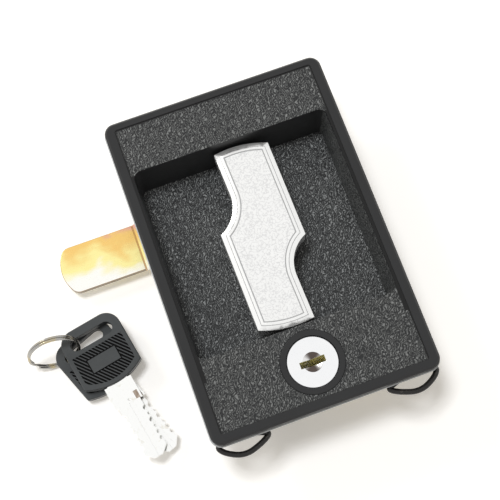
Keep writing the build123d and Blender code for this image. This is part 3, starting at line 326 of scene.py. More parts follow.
class PatternSteps(PlaceSteps):
    """Patterns from 0 to 1."""

    def noise(self, size, detail=2.0, place=None, distortion=0.0):
        made = self.tree.nodes.new("ShaderNodeTexNoise")
        made.inputs["Scale"].default_value = 1 / (size * MM)
        made.inputs["Detail"].default_value = detail
        made.inputs["Distortion"].default_value = distortion
        self.tree.links.new(place or self.place, made.inputs["Vector"])
        return made.outputs["Fac"]

    def crests(self, size, sharpness):
        """Thin meandering crests, from noise that is folded about its middle value."""
        from_middle = self.math("SUBTRACT", self.noise(size, 1.0), 0.5)
        fold = self.math("MULTIPLY", self.math("ABSOLUTE", from_middle), sharpness)
        return self.math("SUBTRACT", 1.0, fold, clamp=True)

    def ripples(self, spacing, turn, wander, wander_size):
        """Ridges at an even spacing that noise bends, from 0 in the valleys to 1 on the crests."""
        along_x = self.times(self.axis("X"), cos(turn) * 2 * pi / (spacing * MM))
        along_y = self.times(self.axis("Y"), sin(turn) * 2 * pi / (spacing * MM))
        along_z = self.times(self.axis("Z"), 2 * pi / (spacing * MM))
        phase = self.math("ADD", self.math("ADD", along_x, along_y), along_z)
        bent = self.math("MULTIPLY_ADD", self.noise(wander_size, 1.0), wander, phase)
        return self.math("MULTIPLY_ADD", self.math("SINE", bent), 0.5, 0.5)

    def pebbles(self, size, wobble, wobble_size=2.0):
        """Rounded pebbles of about one size, with their edges pushed about by noise."""
        cloud = self.tree.nodes.new("ShaderNodeTexNoise")
        cloud.inputs["Scale"].default_value = 1 / (wobble_size * MM)
        self.tree.links.new(self.place, cloud.inputs["Vector"])
        push = self.tree.nodes.new("ShaderNodeVectorMath")
        push.operation = "MULTIPLY_ADD"
        push.inputs[1].default_value = (wobble * MM,) * 3
        self.tree.links.new(cloud.outputs["Color"], push.inputs[0])
        self.tree.links.new(self.place, push.inputs[2])
        made = self.tree.nodes.new("ShaderNodeTexVoronoi")
        made.inputs["Scale"].default_value = 1 / (size * MM)
        self.tree.links.new(push.outputs[0], made.inputs["Vector"])
        return self.math("SUBTRACT", 1.0, made.outputs["Distance"])


print("steps that make a pattern are ready")

# %% [markdown]
# The last steps reach the shader: its colour, its roughness and the bumps that tilt the light. Each new
# bump is laid over the one before it, so that fine marks can lie on a coarse grain.

# %% Steps that reach the shader


class Finish(PatternSteps):
    """A material whose pattern nodes are made by short calls."""

    def paint(self, color):
        self.feed(color, self.shader.inputs["Base Color"])

    def rough(self, value, spread=0.0, least=0.0):
        """Roughness that is the least value plus a share of a pattern."""
        self.feed(self.math("MULTIPLY_ADD", value, spread, least), self.shader.inputs["Roughness"])

    def raise_by(self, height, depth):
        """Adds a bump whose full height is depth millimetres."""
        bump = self.tree.nodes.new("ShaderNodeBump")
        bump.inputs["Distance"].default_value = depth * MM
        self.feed(height, bump.inputs["Height"])
        if self.normal is not None:
            self.tree.links.new(self.normal, bump.inputs["Normal"])
        self.normal = bump.outputs[0]
        self.tree.links.new(self.normal, self.shader.inputs["Normal"])


finishes = {}


def add_finish(maker):
    """Makes one finish, and keeps its material under the maker's name."""
    finishes[maker.__name__] = maker()
    print("finish:", maker.__name__)


print("a finish can now be built")

# %% [markdown]
# The housing is die-cast and powder-coated black. Its sunk field and the dish floor carry a leather
# grain that was cut into the die; the border and the other dish walls are smooth. Masks keep the grain
# to the places where the die has it: the field, a quarter of a millimetre below the face, the floor,
# and the dish's right wall. A narrow strip of the field beside the dish stays smooth.

# %% Where the grain lies
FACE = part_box("housing")[1][2]
FIELD_LEVEL = FACE - 0.25 * MM
DISH_FLOOR_LEVEL = FACE - 20.0 * MM
LEVEL_SLACK = 0.04 * MM
GRAIN_SIDE = 36.2 * MM
GRAIN_END = 55.9 * MM
GRAIN_FADE = 0.7 * MM
DISH_SIDE = 35.4 * MM
DISH_END = 38.0 * MM


def grain_places(finish):
    """1 on the field and the dish floor, fading out towards the border, and on the right wall."""
    up = finish.math("GREATER_THAN", finish.facing("Z"), 0.9)
    floor = finish.times(finish.level(DISH_FLOOR_LEVEL, LEVEL_SLACK), up)
    across, along = (finish.math("ABSOLUTE", finish.axis(name)) for name in "XY")
    inside = finish.times(
        finish.math("SUBTRACT", 1.0, finish.between(across, GRAIN_SIDE - GRAIN_FADE, GRAIN_SIDE)),
        finish.math("SUBTRACT", 1.0, finish.between(along, GRAIN_END - GRAIN_FADE, GRAIN_END)),
    )
    beside_dish = finish.times(
        finish.math("GREATER_THAN", across, DISH_SIDE - 0.5 * MM),
        finish.math("LESS_THAN", along, DISH_END),
    )
    plain_strip = finish.math("SUBTRACT", 1.0, beside_dish)
    field = finish.times(finish.level(FIELD_LEVEL, LEVEL_SLACK), up, inside, plain_strip)
    in_dish = finish.math("LESS_THAN", finish.axis("Z"), FIELD_LEVEL - MM)
    right_half = finish.math("GREATER_THAN", finish.axis("X"), 0.0)
    wall = finish.times(in_dish, right_half, finish.math("LESS_THAN", finish.facing("X"), -0.7))
    return field, floor, wall


print("field at", round(FIELD_LEVEL / MM, 2), "mm, dish floor at", round(DISH_FLOOR_LEVEL / MM, 2), "mm")

# %% [markdown]
# A picture of leather would show its repeats, so the grain is worked out: ridges at an even spacing,
# which noise bends until they curl, and a second noise breaks into short lengths. The crests are
# painted lighter as highlights and the valleys darker as shade, and on the dish floor the grain is
# painted lighter still, as painted light. Where the field's level carries no grain, at the foot of the
# step from the border down to the field, it is painted nearly black as shade.

# %% Black casting
GRAIN_SPACING = 0.80
GRAIN_TURN = radians(-24)
GRAIN_DEPTH = 0.22


def black_casting():
    finish = Finish("black_casting", 0.0)
    field, floor, wall = grain_places(finish)
    grained = finish.math("MAXIMUM", finish.math("MAXIMUM", field, floor), wall)
    ridges = finish.ripples(GRAIN_SPACING, GRAIN_TURN, wander=27.0, wander_size=1.7)
    breaks = finish.between(finish.noise(0.66, 1.0), 0.33, 0.52)
    leather = finish.times(finish.math("POWER", ridges, 1.5), breaks)
    finish.raise_by(finish.times(finish.math("SUBTRACT", leather, 0.4), grained), GRAIN_DEPTH)
    finish.raise_by(finish.noise(0.7, 2.0), 0.01)
    height = finish.times(leather, finish.math("MULTIPLY_ADD", finish.noise(0.6, 1.0), 1.0, 0.4))
    # Painted highlight and shade: crests lighter, valleys darker. On the dish floor the grain is painted
    # lighter still, as painted light.
    grain_painted_light = finish.mix(height, (0.018, 0.019, 0.020), (0.245, 0.253, 0.253))
    floor_painted_light = finish.mix(height, (0.022, 0.023, 0.024), (0.325, 0.338, 0.342))
    smooth_tone_and_shade = finish.mix(finish.noise(18.0, 2.0), (0.018, 0.018, 0.019), (0.026, 0.027, 0.028))
    # Painted shade: where the field's level has no grain, at the foot of the step from the border, it is
    # painted nearly black.
    smooth_tone_and_shade = finish.mix(finish.level(FIELD_LEVEL, LEVEL_SLACK), smooth_tone_and_shade, (0.004, 0.004, 0.004))
    grain_painted_light = finish.mix(floor, grain_painted_light, floor_painted_light)
    finish.paint(finish.mix(grained, smooth_tone_and_shade, grain_painted_light))
    finish.rough(finish.noise(3.0), 0.12, 0.34)
    finish.shader.inputs["Specular IOR Level"].default_value = 0.3
    return finish.material


add_finish(black_casting)

# %% [markdown]
# The handle is a zinc casting with a satin plating, almost white in this light. Its sunk top has a
# fine stipple, whose pits are painted a little darker as shade in them, and a thin grey line of painted
# shade lies in the fine groove that runs round it inside the rim.

# %% Satin silver
HANDLE_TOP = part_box("handle")[1][2]
HANDLE_FIELD_LEVEL = HANDLE_TOP - 0.2 * MM


def satin_silver():
    finish = Finish("satin_silver", 0.8)
    on_field = finish.level(HANDLE_FIELD_LEVEL, 0.04 * MM)
    pits = finish.times(finish.crests(1.1, 13.0), on_field)
    finish.raise_by(pits, -0.012)
    finish.raise_by(finish.noise(0.25, 2.0), 0.002)
    plain = finish.mix(finish.noise(9.0, 3.0), (0.88, 0.88, 0.87), (0.94, 0.94, 0.93))
    # Painted shade: the pits are a little darker.
    pits_with_painted_shade = finish.mix(pits, plain, (0.72, 0.72, 0.72))
    # Painted shade: the floor of the groove round the field is grey.
    shaded_groove = finish.times(
        finish.math("LESS_THAN", finish.axis("Z"), HANDLE_FIELD_LEVEL - 0.01 * MM),
        finish.math("GREATER_THAN", finish.axis("Z"), HANDLE_FIELD_LEVEL - 0.1 * MM),
        finish.math("GREATER_THAN", finish.facing("Z"), 0.92),
    )
    finish.paint(finish.mix(shaded_groove, pits_with_painted_shade, (0.42, 0.42, 0.42)))
    finish.rough(finish.noise(2.0, 3.0), 0.12, 0.26)
    return finish.material


add_finish(satin_silver)

# %% [markdown]
# The plug is brass under the same plating. The brass shows inside the slot, with a painted shadow across
# it a little left of its middle. The turned dimple round the slot carries the cutter's fine rings as a
# bump, and dark bands round its axis are painted into it as shade and reflection.

# %% Plug silver
PLUG_LOW, PLUG_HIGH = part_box("plug")
PLUG_AXIS_Y = (PLUG_LOW[1] + PLUG_HIGH[1]) / 2
DIMPLE_RADIUS = 3.5 * MM
SLOT_HALF_LENGTH = 4.4 * MM
SLOT_HALF_HEIGHT = 1.15 * MM


def plug_silver():
    finish = Finish("plug_silver", 1.0)
    radius, angle = finish.around(0.0, PLUG_AXIS_Y)
    below = finish.math("LESS_THAN", finish.axis("Z"), PLUG_HIGH[2] - 0.05 * MM)
    dimple = finish.times(finish.math("LESS_THAN", radius, DIMPLE_RADIUS), below)
    across = finish.math("ABSOLUTE", finish.math("SUBTRACT", finish.axis("Y"), PLUG_AXIS_Y))
    in_length = finish.math("LESS_THAN", finish.math("ABSOLUTE", finish.axis("X")), SLOT_HALF_LENGTH)
    in_slot = finish.times(in_length, finish.math("LESS_THAN", across, SLOT_HALF_HEIGHT), below)
    out_of_slot = finish.math("SUBTRACT", 1.0, in_slot)
    turning = finish.math("SINE", finish.times(radius, 2 * pi / (0.35 * MM)))
    finish.raise_by(finish.times(turning, out_of_slot, 0.5), 0.003)
    face = finish.mix(finish.noise(5.0, 3.0), (0.87, 0.88, 0.89), (0.94, 0.94, 0.94))
    # Painted shade and reflection: dark bands round the dimple's axis.
    streaks = finish.math("ABSOLUTE", finish.math("SINE", finish.math("ADD", angle, 0.35)))
    dimple_painted_shade = finish.mix(finish.between(streaks, 0.35, 0.95), (0.78, 0.77, 0.76), (0.10, 0.08, 0.07))
    wear = finish.between(finish.noise(1.1, 3.0), 0.42, 0.62)
    slot_wear_and_shadow = finish.mix(wear, (1.0, 0.98, 0.66), (0.96, 0.88, 0.44))
    # Painted shadow: a band across the slot, a little left of its middle, is darkened.
    slot_painted_shadow = finish.math("COMPARE", finish.axis("X"), -1.0 * MM, 0.5 * MM)
    slot_wear_and_shadow = finish.mix(finish.times(slot_painted_shadow, 0.85), slot_wear_and_shadow, (0.05, 0.045, 0.02))
    finish.paint(finish.mix(in_slot, finish.mix(dimple, face, dimple_painted_shade), slot_wear_and_shadow))
    finish.feed(finish.math("MULTIPLY_ADD", out_of_slot, 0.6, 0.4), finish.shader.inputs["Metallic"])
    finish.rough(finish.noise(2.0, 3.0), 0.12, 0.16)
    return finish.material


add_finish(plug_silver)

# %% [markdown]
# Nickel on the key blades is bright and carries the marks of milling along the blade. The small recess
# in the upper key's shoulder has lost its plating, and its place is given on that key's own plane.

# %% Nickel
KEY_1_PLACE = Vector((-65.2, -19.8)) * MM
KEY_1_TURN = radians(11.0)
RECESS_ON_KEY = Vector((3.8, -10.2)) * MM


def on_key_1(place):
    """Turns a place on the upper key's own plane into the lock's frame."""
    x = place.x * cos(KEY_1_TURN) - place.y * sin(KEY_1_TURN)
    y = place.x * sin(KEY_1_TURN) + place.y * cos(KEY_1_TURN)
    return KEY_1_PLACE + Vector((x, y))


def nickel():
    finish = Finish("nickel", 1.0)
    milled = finish.noise(0.35, 3.0, place=finish.stretched((1.0, 0.06, 1.0), -KEY_1_TURN))
    finish.raise_by(milled, 0.008)
    stain = finish.between(finish.noise(2.6, 3.0), 0.6, 0.75)
    plated = finish.mix(stain, (0.97, 0.97, 0.95), (0.88, 0.86, 0.79))
    from_recess, _ = finish.around(*on_key_1(RECESS_ON_KEY))
    sunk = finish.math("LESS_THAN", finish.axis("Z"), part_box("key_1_blade")[1][2] - 0.1 * MM)
    bare = finish.times(finish.math("LESS_THAN", from_recess, 1.7 * MM), sunk)
    bare_color = finish.mix(finish.noise(1.0), (0.20, 0.13, 0.08), (0.62, 0.54, 0.46))
    finish.paint(finish.mix(bare, plated, bare_color))
    finish.rough(milled, 0.16, 0.10)
    return finish.material


add_finish(nickel)

# %% [markdown]
# The split ring is hard, dark steel that straw tints where it was tempered. The disc, the screws, the
# springs and most washers are zinc-plated, which dries in faint crystal patches.

# %% Ring steel and zinc


def ring_steel():
    finish = Finish("ring_steel", 1.0)
    drawn = finish.noise(0.2, 2.0)
    finish.raise_by(drawn, 0.006)
    heat = finish.between(finish.noise(7.0, 2.0), 0.45, 0.6)
    finish.paint(finish.mix(heat, (0.40, 0.39, 0.37), (0.50, 0.42, 0.26)))
    finish.rough(drawn, 0.2, 0.12)
    return finish.material


def zinc_steel():
    finish = Finish("zinc_steel", 1.0)
    spangle = finish.pebbles(2.2, wobble=1.5)
    finish.paint(finish.mix(spangle, (0.55, 0.58, 0.62), (0.72, 0.73, 0.73)))
    finish.raise_by(finish.noise(0.2, 2.0), 0.008)
    finish.rough(finish.noise(5.0, 4.0), 0.25, 0.22)
    return finish.material


add_finish(ring_steel)
add_finish(zinc_steel)

# %% [markdown]
# The wire clips are oiled black spring wire, rubbed paler in places. The handle's bush and the wafers
# are plain brass, which tarnishes in clouds.

# %% Spring wire and brass


def spring_wire():
    finish = Finish("spring_wire", 0.4)
    finish.raise_by(finish.noise(0.6, 3.0), 0.008)
    rub = finish.between(finish.noise(1.8, 3.0), 0.55, 0.75)
    finish.paint(finish.mix(rub, (0.014, 0.013, 0.012), (0.050, 0.046, 0.040)))
    finish.rough(finish.noise(1.2), 0.2, 0.18)
    return finish.material


def brass():
    finish = Finish("brass", 0.75)
    tarnish = finish.noise(1.6, 4.0)
    finish.paint(finish.mix(tarnish, (0.88, 0.76, 0.38), (1.0, 0.95, 0.62)))
    finish.raise_by(finish.noise(0.15, 2.0), 0.002)
    finish.rough(tarnish, 0.3, 0.15)
    return finish.material


add_finish(spring_wire)
add_finish(brass)

# %% [markdown]
# The cam, the tongue and its washer are steel plate passivated yellow. That coat is so thin that its
# colour drifts with its thickness: where the bath drained off it is pale, and where it lay longest it
# goes from straw through gold to pink.

# %% Yellow zinc


def passivated(finish, depth):
    """Colours of the coat, from where the bath drained first to where it lay longest."""
    pale = finish.mix(finish.between(depth, 0.05, 0.42), (0.98, 0.97, 0.92), (0.98, 0.88, 0.38))
    gold = finish.mix(finish.between(depth, 0.46, 0.85), pale, (0.92, 0.61, 0.20))
    return finish.mix(finish.between(depth, 0.90, 1.12), gold, (0.80, 0.43, 0.33))


def yellow_zinc():
    finish = Finish("yellow_zinc", 1.0)
    drawn = finish.stretched((0.45, 1.0, 1.0))
    slow = finish.noise(14.0, 2.0, place=drawn, distortion=0.8)
    finish.paint(passivated(finish, finish.math("MULTIPLY_ADD", slow, 2.2, -0.55)))
    finish.raise_by(finish.noise(0.3, 2.0, place=finish.stretched((0.05, 1.0, 1.0))), 0.006)
    finish.rough(finish.noise(4.0, 4.0), 0.2, 0.2)
    return finish.material


add_finish(yellow_zinc)

# %% [markdown]
# The tongue's plate hung by one edge in the bath, so its colours lie in bands along the bar, pushed
# about by noise. The rolled edge of its flat end and the line of the lower bend are painted brown as
# shade, and the cut side is painted dark as shade. Height finds the rolled edge, the place along the
# bar finds the bend, and the way the surface faces finds the cut side.

# %% Tongue gold
TONGUE_HIGH_EDGE = 30.7 * MM
TONGUE_BAR_WIDTH = 17.5 * MM
TONGUE_BEND_X = -42.0 * MM
TONGUE_END_TOP = -23.6 * MM


def tongue_gold():
    finish = Finish("tongue_gold", 1.0)
    from_edge = finish.math("SUBTRACT", TONGUE_HIGH_EDGE, finish.axis("Y"))
    band = finish.math("SUBTRACT", 1.0, finish.times(from_edge, 1 / TONGUE_BAR_WIDTH))
    cloud = finish.math("SUBTRACT", finish.noise(11.0, 2.0, distortion=0.5), 0.5)
    streaks = finish.math("SUBTRACT", finish.noise(2.4, 3.0, place=finish.stretched((0.5, 1.0, 1.0))), 0.5)
    near_bend = finish.between(finish.axis("X"), -60.0 * MM, -44.0 * MM)
    warmth = finish.math("MULTIPLY_ADD", near_bend, 0.16, finish.times(band, 0.90))
    warmth = finish.math("MULTIPLY_ADD", cloud, 0.9, warmth)
    flat_color = passivated(finish, finish.math("MULTIPLY_ADD", streaks, 0.25, warmth))
    before_bend = finish.math("LESS_THAN", finish.axis("X"), TONGUE_BEND_X - 0.3 * MM)
    rolled_edge = finish.times(before_bend, finish.level(TONGUE_END_TOP - 0.27 * MM, 0.23 * MM))
    bend_line = finish.math("COMPARE", finish.axis("X"), TONGUE_BEND_X, 0.35 * MM)
    # Painted shade: the rolled edge and the line of the bend are painted brown.
    warm = finish.math("MAXIMUM", rolled_edge, bend_line)
    with_painted_edge_shade = finish.mix(finish.times(warm, 0.85), flat_color, (0.45, 0.24, 0.08))
    # Painted shade: faces that look sideways are painted dark.
    shaded_cut_side = finish.math("LESS_THAN", finish.math("ABSOLUTE", finish.facing("Z")), 0.6)
    finish.paint(finish.mix(finish.times(shaded_cut_side, before_bend), with_painted_edge_shade, (0.20, 0.15, 0.09)))
    finish.raise_by(finish.noise(0.3, 2.0, place=finish.stretched((0.05, 1.0, 1.0))), 0.005)
    finish.rough(finish.noise(4.0, 4.0), 0.16, 0.18)
    return finish.material


add_finish(tongue_gold)

# %% [markdown]
# The bows are moulded in dark grey plastic with a spark-eroded matt surface. The grooves' floors
# between the finger ribs are painted nearly black as shade and made fully rough. The two bows lie one
# on the other, so the grooves' floors are at four known levels.

# %% Key plastic
GROOVE_IN_BOW = 0.45 * MM


def key_plastic():
    finish = Finish("key_plastic", 0.0)
    spark = finish.noise(0.22, 2.0)
    finish.raise_by(spark, 0.02)
    tops = finish.mix(finish.noise(4.0, 4.0), (0.042, 0.046, 0.048), (0.062, 0.067, 0.070))
    shaded_groove = None
    for bow in ("key_1_bow", "key_2_bow"):
        low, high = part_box(bow)
        for floor in (high[2] - GROOVE_IN_BOW, low[2] + GROOVE_IN_BOW):
            here = finish.level(floor, 0.2 * MM)
            shaded_groove = here if shaded_groove is None else finish.math("MAXIMUM", shaded_groove, here)
    # Painted shade: the grooves' floors between the ribs are nearly black.
    finish.paint(finish.mix(shaded_groove, tops, (0.002, 0.002, 0.002)))
    matt = finish.math("MULTIPLY_ADD", spark, 0.25, 0.30)
    finish.rough(finish.math("MAXIMUM", matt, shaded_groove), 1.0)
    finish.shader.inputs["Specular IOR Level"].default_value = 0.4
    return finish.material


add_finish(key_plastic)

# %% [markdown]
# The gasket is a closed foam strip with tiny cells on its skin, and the seal ring is plain black
# rubber with a faint bloom.

# %% Gasket and seal rubber


def gasket_rubber():
    finish = Finish("gasket_rubber", 0.0)
    cells = finish.pebbles(0.5, wobble=0.3, wobble_size=1.0)
    finish.raise_by(cells, 0.08)
    finish.paint(finish.mix(cells, (0.50, 0.52, 0.54), (0.62, 0.64, 0.66)))
    finish.rough(finish.noise(1.5), 0.15, 0.75)
    return finish.material


def seal_rubber():
    finish = Finish("seal_rubber", 0.0)
    bloom = finish.noise(1.0, 3.0)
    finish.raise_by(bloom, 0.01)
    finish.paint(finish.mix(bloom, (0.014, 0.014, 0.014), (0.03, 0.03, 0.03)))
    finish.rough(bloom, 0.2, 0.45)
    return finish.material


add_finish(gasket_rubber)
add_finish(seal_rubber)

# %% [markdown]
# Every finished piece is handed over in the same way: it wears a finish, moves with a body, and the
# piece of the frame that it stands in for is hidden. A piece wears the finish of its slot, apart from
# three that have a finish of their own. Operators act on what is selected, so one helper clears the
# selection and takes one object, and another takes points by their place.

# %% Selecting and handing over
OWN_FINISH = {"plug": "plug_silver", "tongue": "tongue_gold", "key_ring": "ring_steel"}


def only(piece):
    """Selects one object and makes it the active one."""
    bpy.ops.object.select_all(action="DESELECT")
    piece.select_set(True)
    bpy.context.view_layer.objects.active = piece


def pick(piece, test):
    """Selects the points of a mesh that pass a test, ready for edit mode."""
    only(piece)
    bpy.ops.object.mode_set(mode="EDIT")
    bpy.ops.mesh.select_mode(type="VERT")
    bpy.ops.mesh.select_all(action="DESELECT")
    bpy.ops.object.mode_set(mode="OBJECT")
    for point in piece.data.vertices:
        point.select = test(point.co)
    bpy.ops.object.mode_set(mode="EDIT")


def hand_over(piece, node):
    """Dresses a piece, makes it ride on its body, and hides the node that it stands in for."""
    piece.data.materials.clear()
    piece.data.materials.append(finishes[OWN_FINISH.get(node, slot_of[node])])
    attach(piece, body_of[node])
    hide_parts(node)


print("own finishes:", OWN_FINISH)

# %% [markdown]
# Real edges are never sharp: a casting has a radius, a punched plate a rolled edge, a moulding a
# broken corner, and that thin line of light is what makes a piece look solid. The frame's pieces are
# left alone, so each is copied. The copy's loose triangles are merged, flat neighbours are joined so
# that the bevel finds clean edges, and a Bevel modifier that works only on real corners is applied.
# A Weighted Normal modifier then keeps the large faces flat and lets only the roundings shade.

# %% A helper that rounds the edges of a piece
CORNER_ANGLE = radians(32)
SMOOTH_ANGLE = radians(38)
FLAT_ANGLE = radians(0.5)
SAME_POINT = 0.002 * MM
ROUNDING_RINGS = 2


def keep_flats_flat(piece):
    """Shades the roundings smoothly, and the large faces as flat as they are."""
    only(piece)
    bpy.ops.object.shade_smooth_by_angle(angle=SMOOTH_ANGLE)
    flats = piece.modifiers.new("keep_flats_flat", "WEIGHTED_NORMAL")
    flats.keep_sharp = True
    bpy.ops.object.modifier_apply(modifier=flats.name)


def rounded_copy(node, radius):
    """A copy of a frame piece with every real corner rounded."""
    piece = bpy.data.objects.new(f"{node}_rounded", nodes[node].data.copy())
    bpy.context.collection.objects.link(piece)
    only(piece)
    bpy.ops.mesh.customdata_custom_splitnormals_clear()
    bpy.ops.object.mode_set(mode="EDIT")
    bpy.ops.mesh.select_all(action="SELECT")
    bpy.ops.mesh.remove_doubles(threshold=SAME_POINT)
    bpy.ops.mesh.dissolve_limited(angle_limit=FLAT_ANGLE)
    bpy.ops.object.mode_set(mode="OBJECT")
    bevel = piece.modifiers.new("rounding", "BEVEL")
    bevel.width = radius * MM
    bevel.segments = ROUNDING_RINGS
    bevel.limit_method = "ANGLE"
    bevel.angle_limit = CORNER_ANGLE
    bpy.ops.object.modifier_apply(modifier=bevel.name)
    keep_flats_flat(piece)
    return piece


print("corners sharper than", round(CORNER_ANGLE * 180 / pi), "degrees will be rounded")

# %% [markdown]
# Each process leaves its own radius, in millimetres: a die casting about a third, the bent tongue as
# much, a turned or punched piece a tenth or a little more, and the thin wafers hardly any.

# %% Round the frame's pieces
EDGE_RADII = {
    "housing": 0.35, "gasket": 0.3, "cylinder_barrel": 0.12, "barrel_clip": 0.1, "shaft_bush": 0.12,
    "handle": 0.3, "lock_disc": 0.15, "spacer_washer": 0.1, "tongue": 0.3, "tongue_washer": 0.15,
    "lock_washer": 0.12, "tongue_bolt": 0.15, "plug": 0.1, "wafers": 0.06, "blocking_cam": 0.2,
    "cam_washer": 0.12, "cam_screw": 0.1, "key_1_blade": 0.12, "key_2_blade": 0.12, "key_1_bow": 0.12,
    "key_2_bow": 0.12,
}
rounded = {}
for node, radius in EDGE_RADII.items():
    rounded[node] = rounded_copy(node, radius)
    hand_over(rounded[node], node)
    print(node, "rounded by", radius, "mm,", len(rounded[node].data.polygons), "faces")

# %% [markdown]
# A fine groove runs round the handle's sunk field. The rounded copy already has that field as one
# flat face, so two insets cut the groove: the first slopes down from the field's outline, and the
# second slopes back up, which leaves the field itself where it was.

# %% Groove round the handle's field
GROOVE_HALF_WIDTH = 0.24 * MM
GROOVE_DEPTH = 0.07 * MM
LEVEL_WITH_FIELD = 0.01 * MM

handle = rounded["handle"]
only(handle)
bpy.ops.object.mode_set(mode="EDIT")
bpy.ops.mesh.select_mode(type="FACE")
bpy.ops.mesh.select_all(action="DESELECT")
bpy.ops.object.mode_set(mode="OBJECT")
for face in handle.data.polygons:
    face.select = abs(face.center.z - HANDLE_FIELD_LEVEL) < LEVEL_WITH_FIELD and face.normal.z > 0.99
field_faces = sum(face.select for face in handle.data.polygons)
bpy.ops.object.mode_set(mode="EDIT")
bpy.ops.mesh.inset(thickness=GROOVE_HALF_WIDTH, depth=-GROOVE_DEPTH)
bpy.ops.mesh.inset(thickness=GROOVE_HALF_WIDTH, depth=GROOVE_DEPTH)
bpy.ops.object.mode_set(mode="OBJECT")
keep_flats_flat(handle)
print("field faces grooved:", field_faces)

# %% [markdown]
# Each wire clip is one spring wire bent into a D, with its flat side under the flange's edge and its
# round side standing out. A smooth curve with a round section is how such a wire is drawn: the points
# below are the corners that pull the curve, in millimetres from the lug, for the right-hand clip. A
# curve of order 3 leaves each corner round, as the bending tool does. The left clip mirrors it.

# %% Wire clips
LUG = Vector((31.0, -54.0, -2.6))
WIRE_RADIUS = 1.0 * MM
CLIP_CORNERS = ((0.1, 0.0), (4.2, 0.0), (4.3, -3.9), (8.2, -4.1), (6.1, -7.1), (0.0, -9.9), (-6.4, -8.0),
                (-10.4, -5.6), (-7.0, -4.4), (-3.8, -3.5), (-3.7, 0.0), (-0.1, 0.0))


def wire_clip(side, node):
    """One clip, drawn as a curve with a round section and then made a mesh."""
    line = bpy.data.curves.new(f"{node}_wire", "CURVE")
    line.dimensions = "3D"
    line.bevel_depth = WIRE_RADIUS
    line.bevel_resolution = 6
    line.use_fill_caps = True
    route = line.splines.new("NURBS")
    route.points.add(len(CLIP_CORNERS) - 1)
    for point, (along, out) in zip(route.points, CLIP_CORNERS):
        point.co = (side * (LUG.x + along) * MM, (LUG.y + out) * MM, LUG.z * MM, 1)
    route.order_u = 3
    route.use_endpoint_u = True
    route.resolution_u = 10
    piece = bpy.data.objects.new(f"{node}_wire", line)
    bpy.context.collection.objects.link(piece)
    only(piece)
    bpy.ops.object.convert(target="MESH")
    bpy.ops.object.shade_smooth()
    hand_over(piece, node)
    return piece


for side, node in ((-1, "wire_clip_left"), (1, "wire_clip_right")):
    print(node, len(wire_clip(side, node).data.polygons), "faces")

# %% [markdown]
# The split ring is round spring wire wound twice, with one short step where the wire crosses from the
# first turn to the second. An extrusion does just that: the wire's section is pushed on and turned a
# few degrees at a time about the ring's axis, and at the crossing it also climbs by its own width. The
# section is a hair taller than it is wide, so that the two turns lie close. transform.rotate turns
# about center_override, whatever the pivot setting says.

# %% Split ring
RING_LEAN = radians(72.0)
RING_WIRE_WIDTH = 1.0 * MM
RING_WIRE_SIDES = 12
RING_WIRE_RADIUS = 0.49 * RING_WIRE_WIDTH
RING_WIRE_TALLER = 1.02
RING_STEPS_PER_TURN = 60
RING_STEPS = 117
RING_CLIMB_STEPS = range(57, 62)
RING_CUT_AT = radians(200)

ring_low, ring_high = (Vector(corner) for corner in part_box("key_ring"))
ring_outside = (ring_high.x - ring_low.x) / 2
ring_middle = ring_outside - RING_WIRE_WIDTH / 2

bpy.ops.object.select_all(action="DESELECT")
bpy.ops.mesh.primitive_circle_add(
    vertices=RING_WIRE_SIDES, radius=RING_WIRE_RADIUS, fill_type="NGON", rotation=(pi / 2, 0, 0),
)
key_ring = bpy.context.object
key_ring.name = "key_ring_wound"
bpy.ops.object.transform_apply(rotation=True)
bpy.ops.object.mode_set(mode="EDIT")
bpy.ops.transform.resize(value=(1.0, 1.0, RING_WIRE_TALLER))
bpy.ops.transform.translate(value=(ring_middle, 0, -RING_WIRE_WIDTH / 2))
for step in range(RING_STEPS):
    climb = RING_WIRE_WIDTH / len(RING_CLIMB_STEPS) if step in RING_CLIMB_STEPS else 0
    bpy.ops.mesh.extrude_region_move(TRANSFORM_OT_translate={"value": (0, 0, climb)})
    bpy.ops.transform.rotate(value=2 * pi / RING_STEPS_PER_TURN, orient_axis="Z", center_override=(0, 0, 0))
bpy.ops.mesh.select_all(action="SELECT")
bpy.ops.mesh.normals_make_consistent(inside=False)
bpy.ops.object.mode_set(mode="OBJECT")
bpy.ops.object.shade_smooth_by_angle(angle=SMOOTH_ANGLE)
lean_and_turn = Matrix.Rotation(RING_LEAN, 3, "X") @ Matrix.Rotation(RING_CUT_AT, 3, "Z")
key_ring.rotation_euler = lean_and_turn.to_euler()
key_ring.location = (ring_low + ring_high) / 2
bpy.ops.object.transform_apply(location=True, rotation=True)
hand_over(key_ring, "key_ring")
print("ring", round(ring_outside * 2 / MM, 1), "mm across,", len(key_ring.data.polygons), "faces")

# %% [markdown]
# Springs and screw threads are the same thing to a modeller: a small section wound up round an axis.
# The Screw modifier does that, so one helper makes both. Its section is a circle for a spring and a
# diamond for a thread, moved out to its radius in edit mode, and the two open ends are then closed.

# %% A helper that winds a section round an axis
WINDING_STEPS = 24


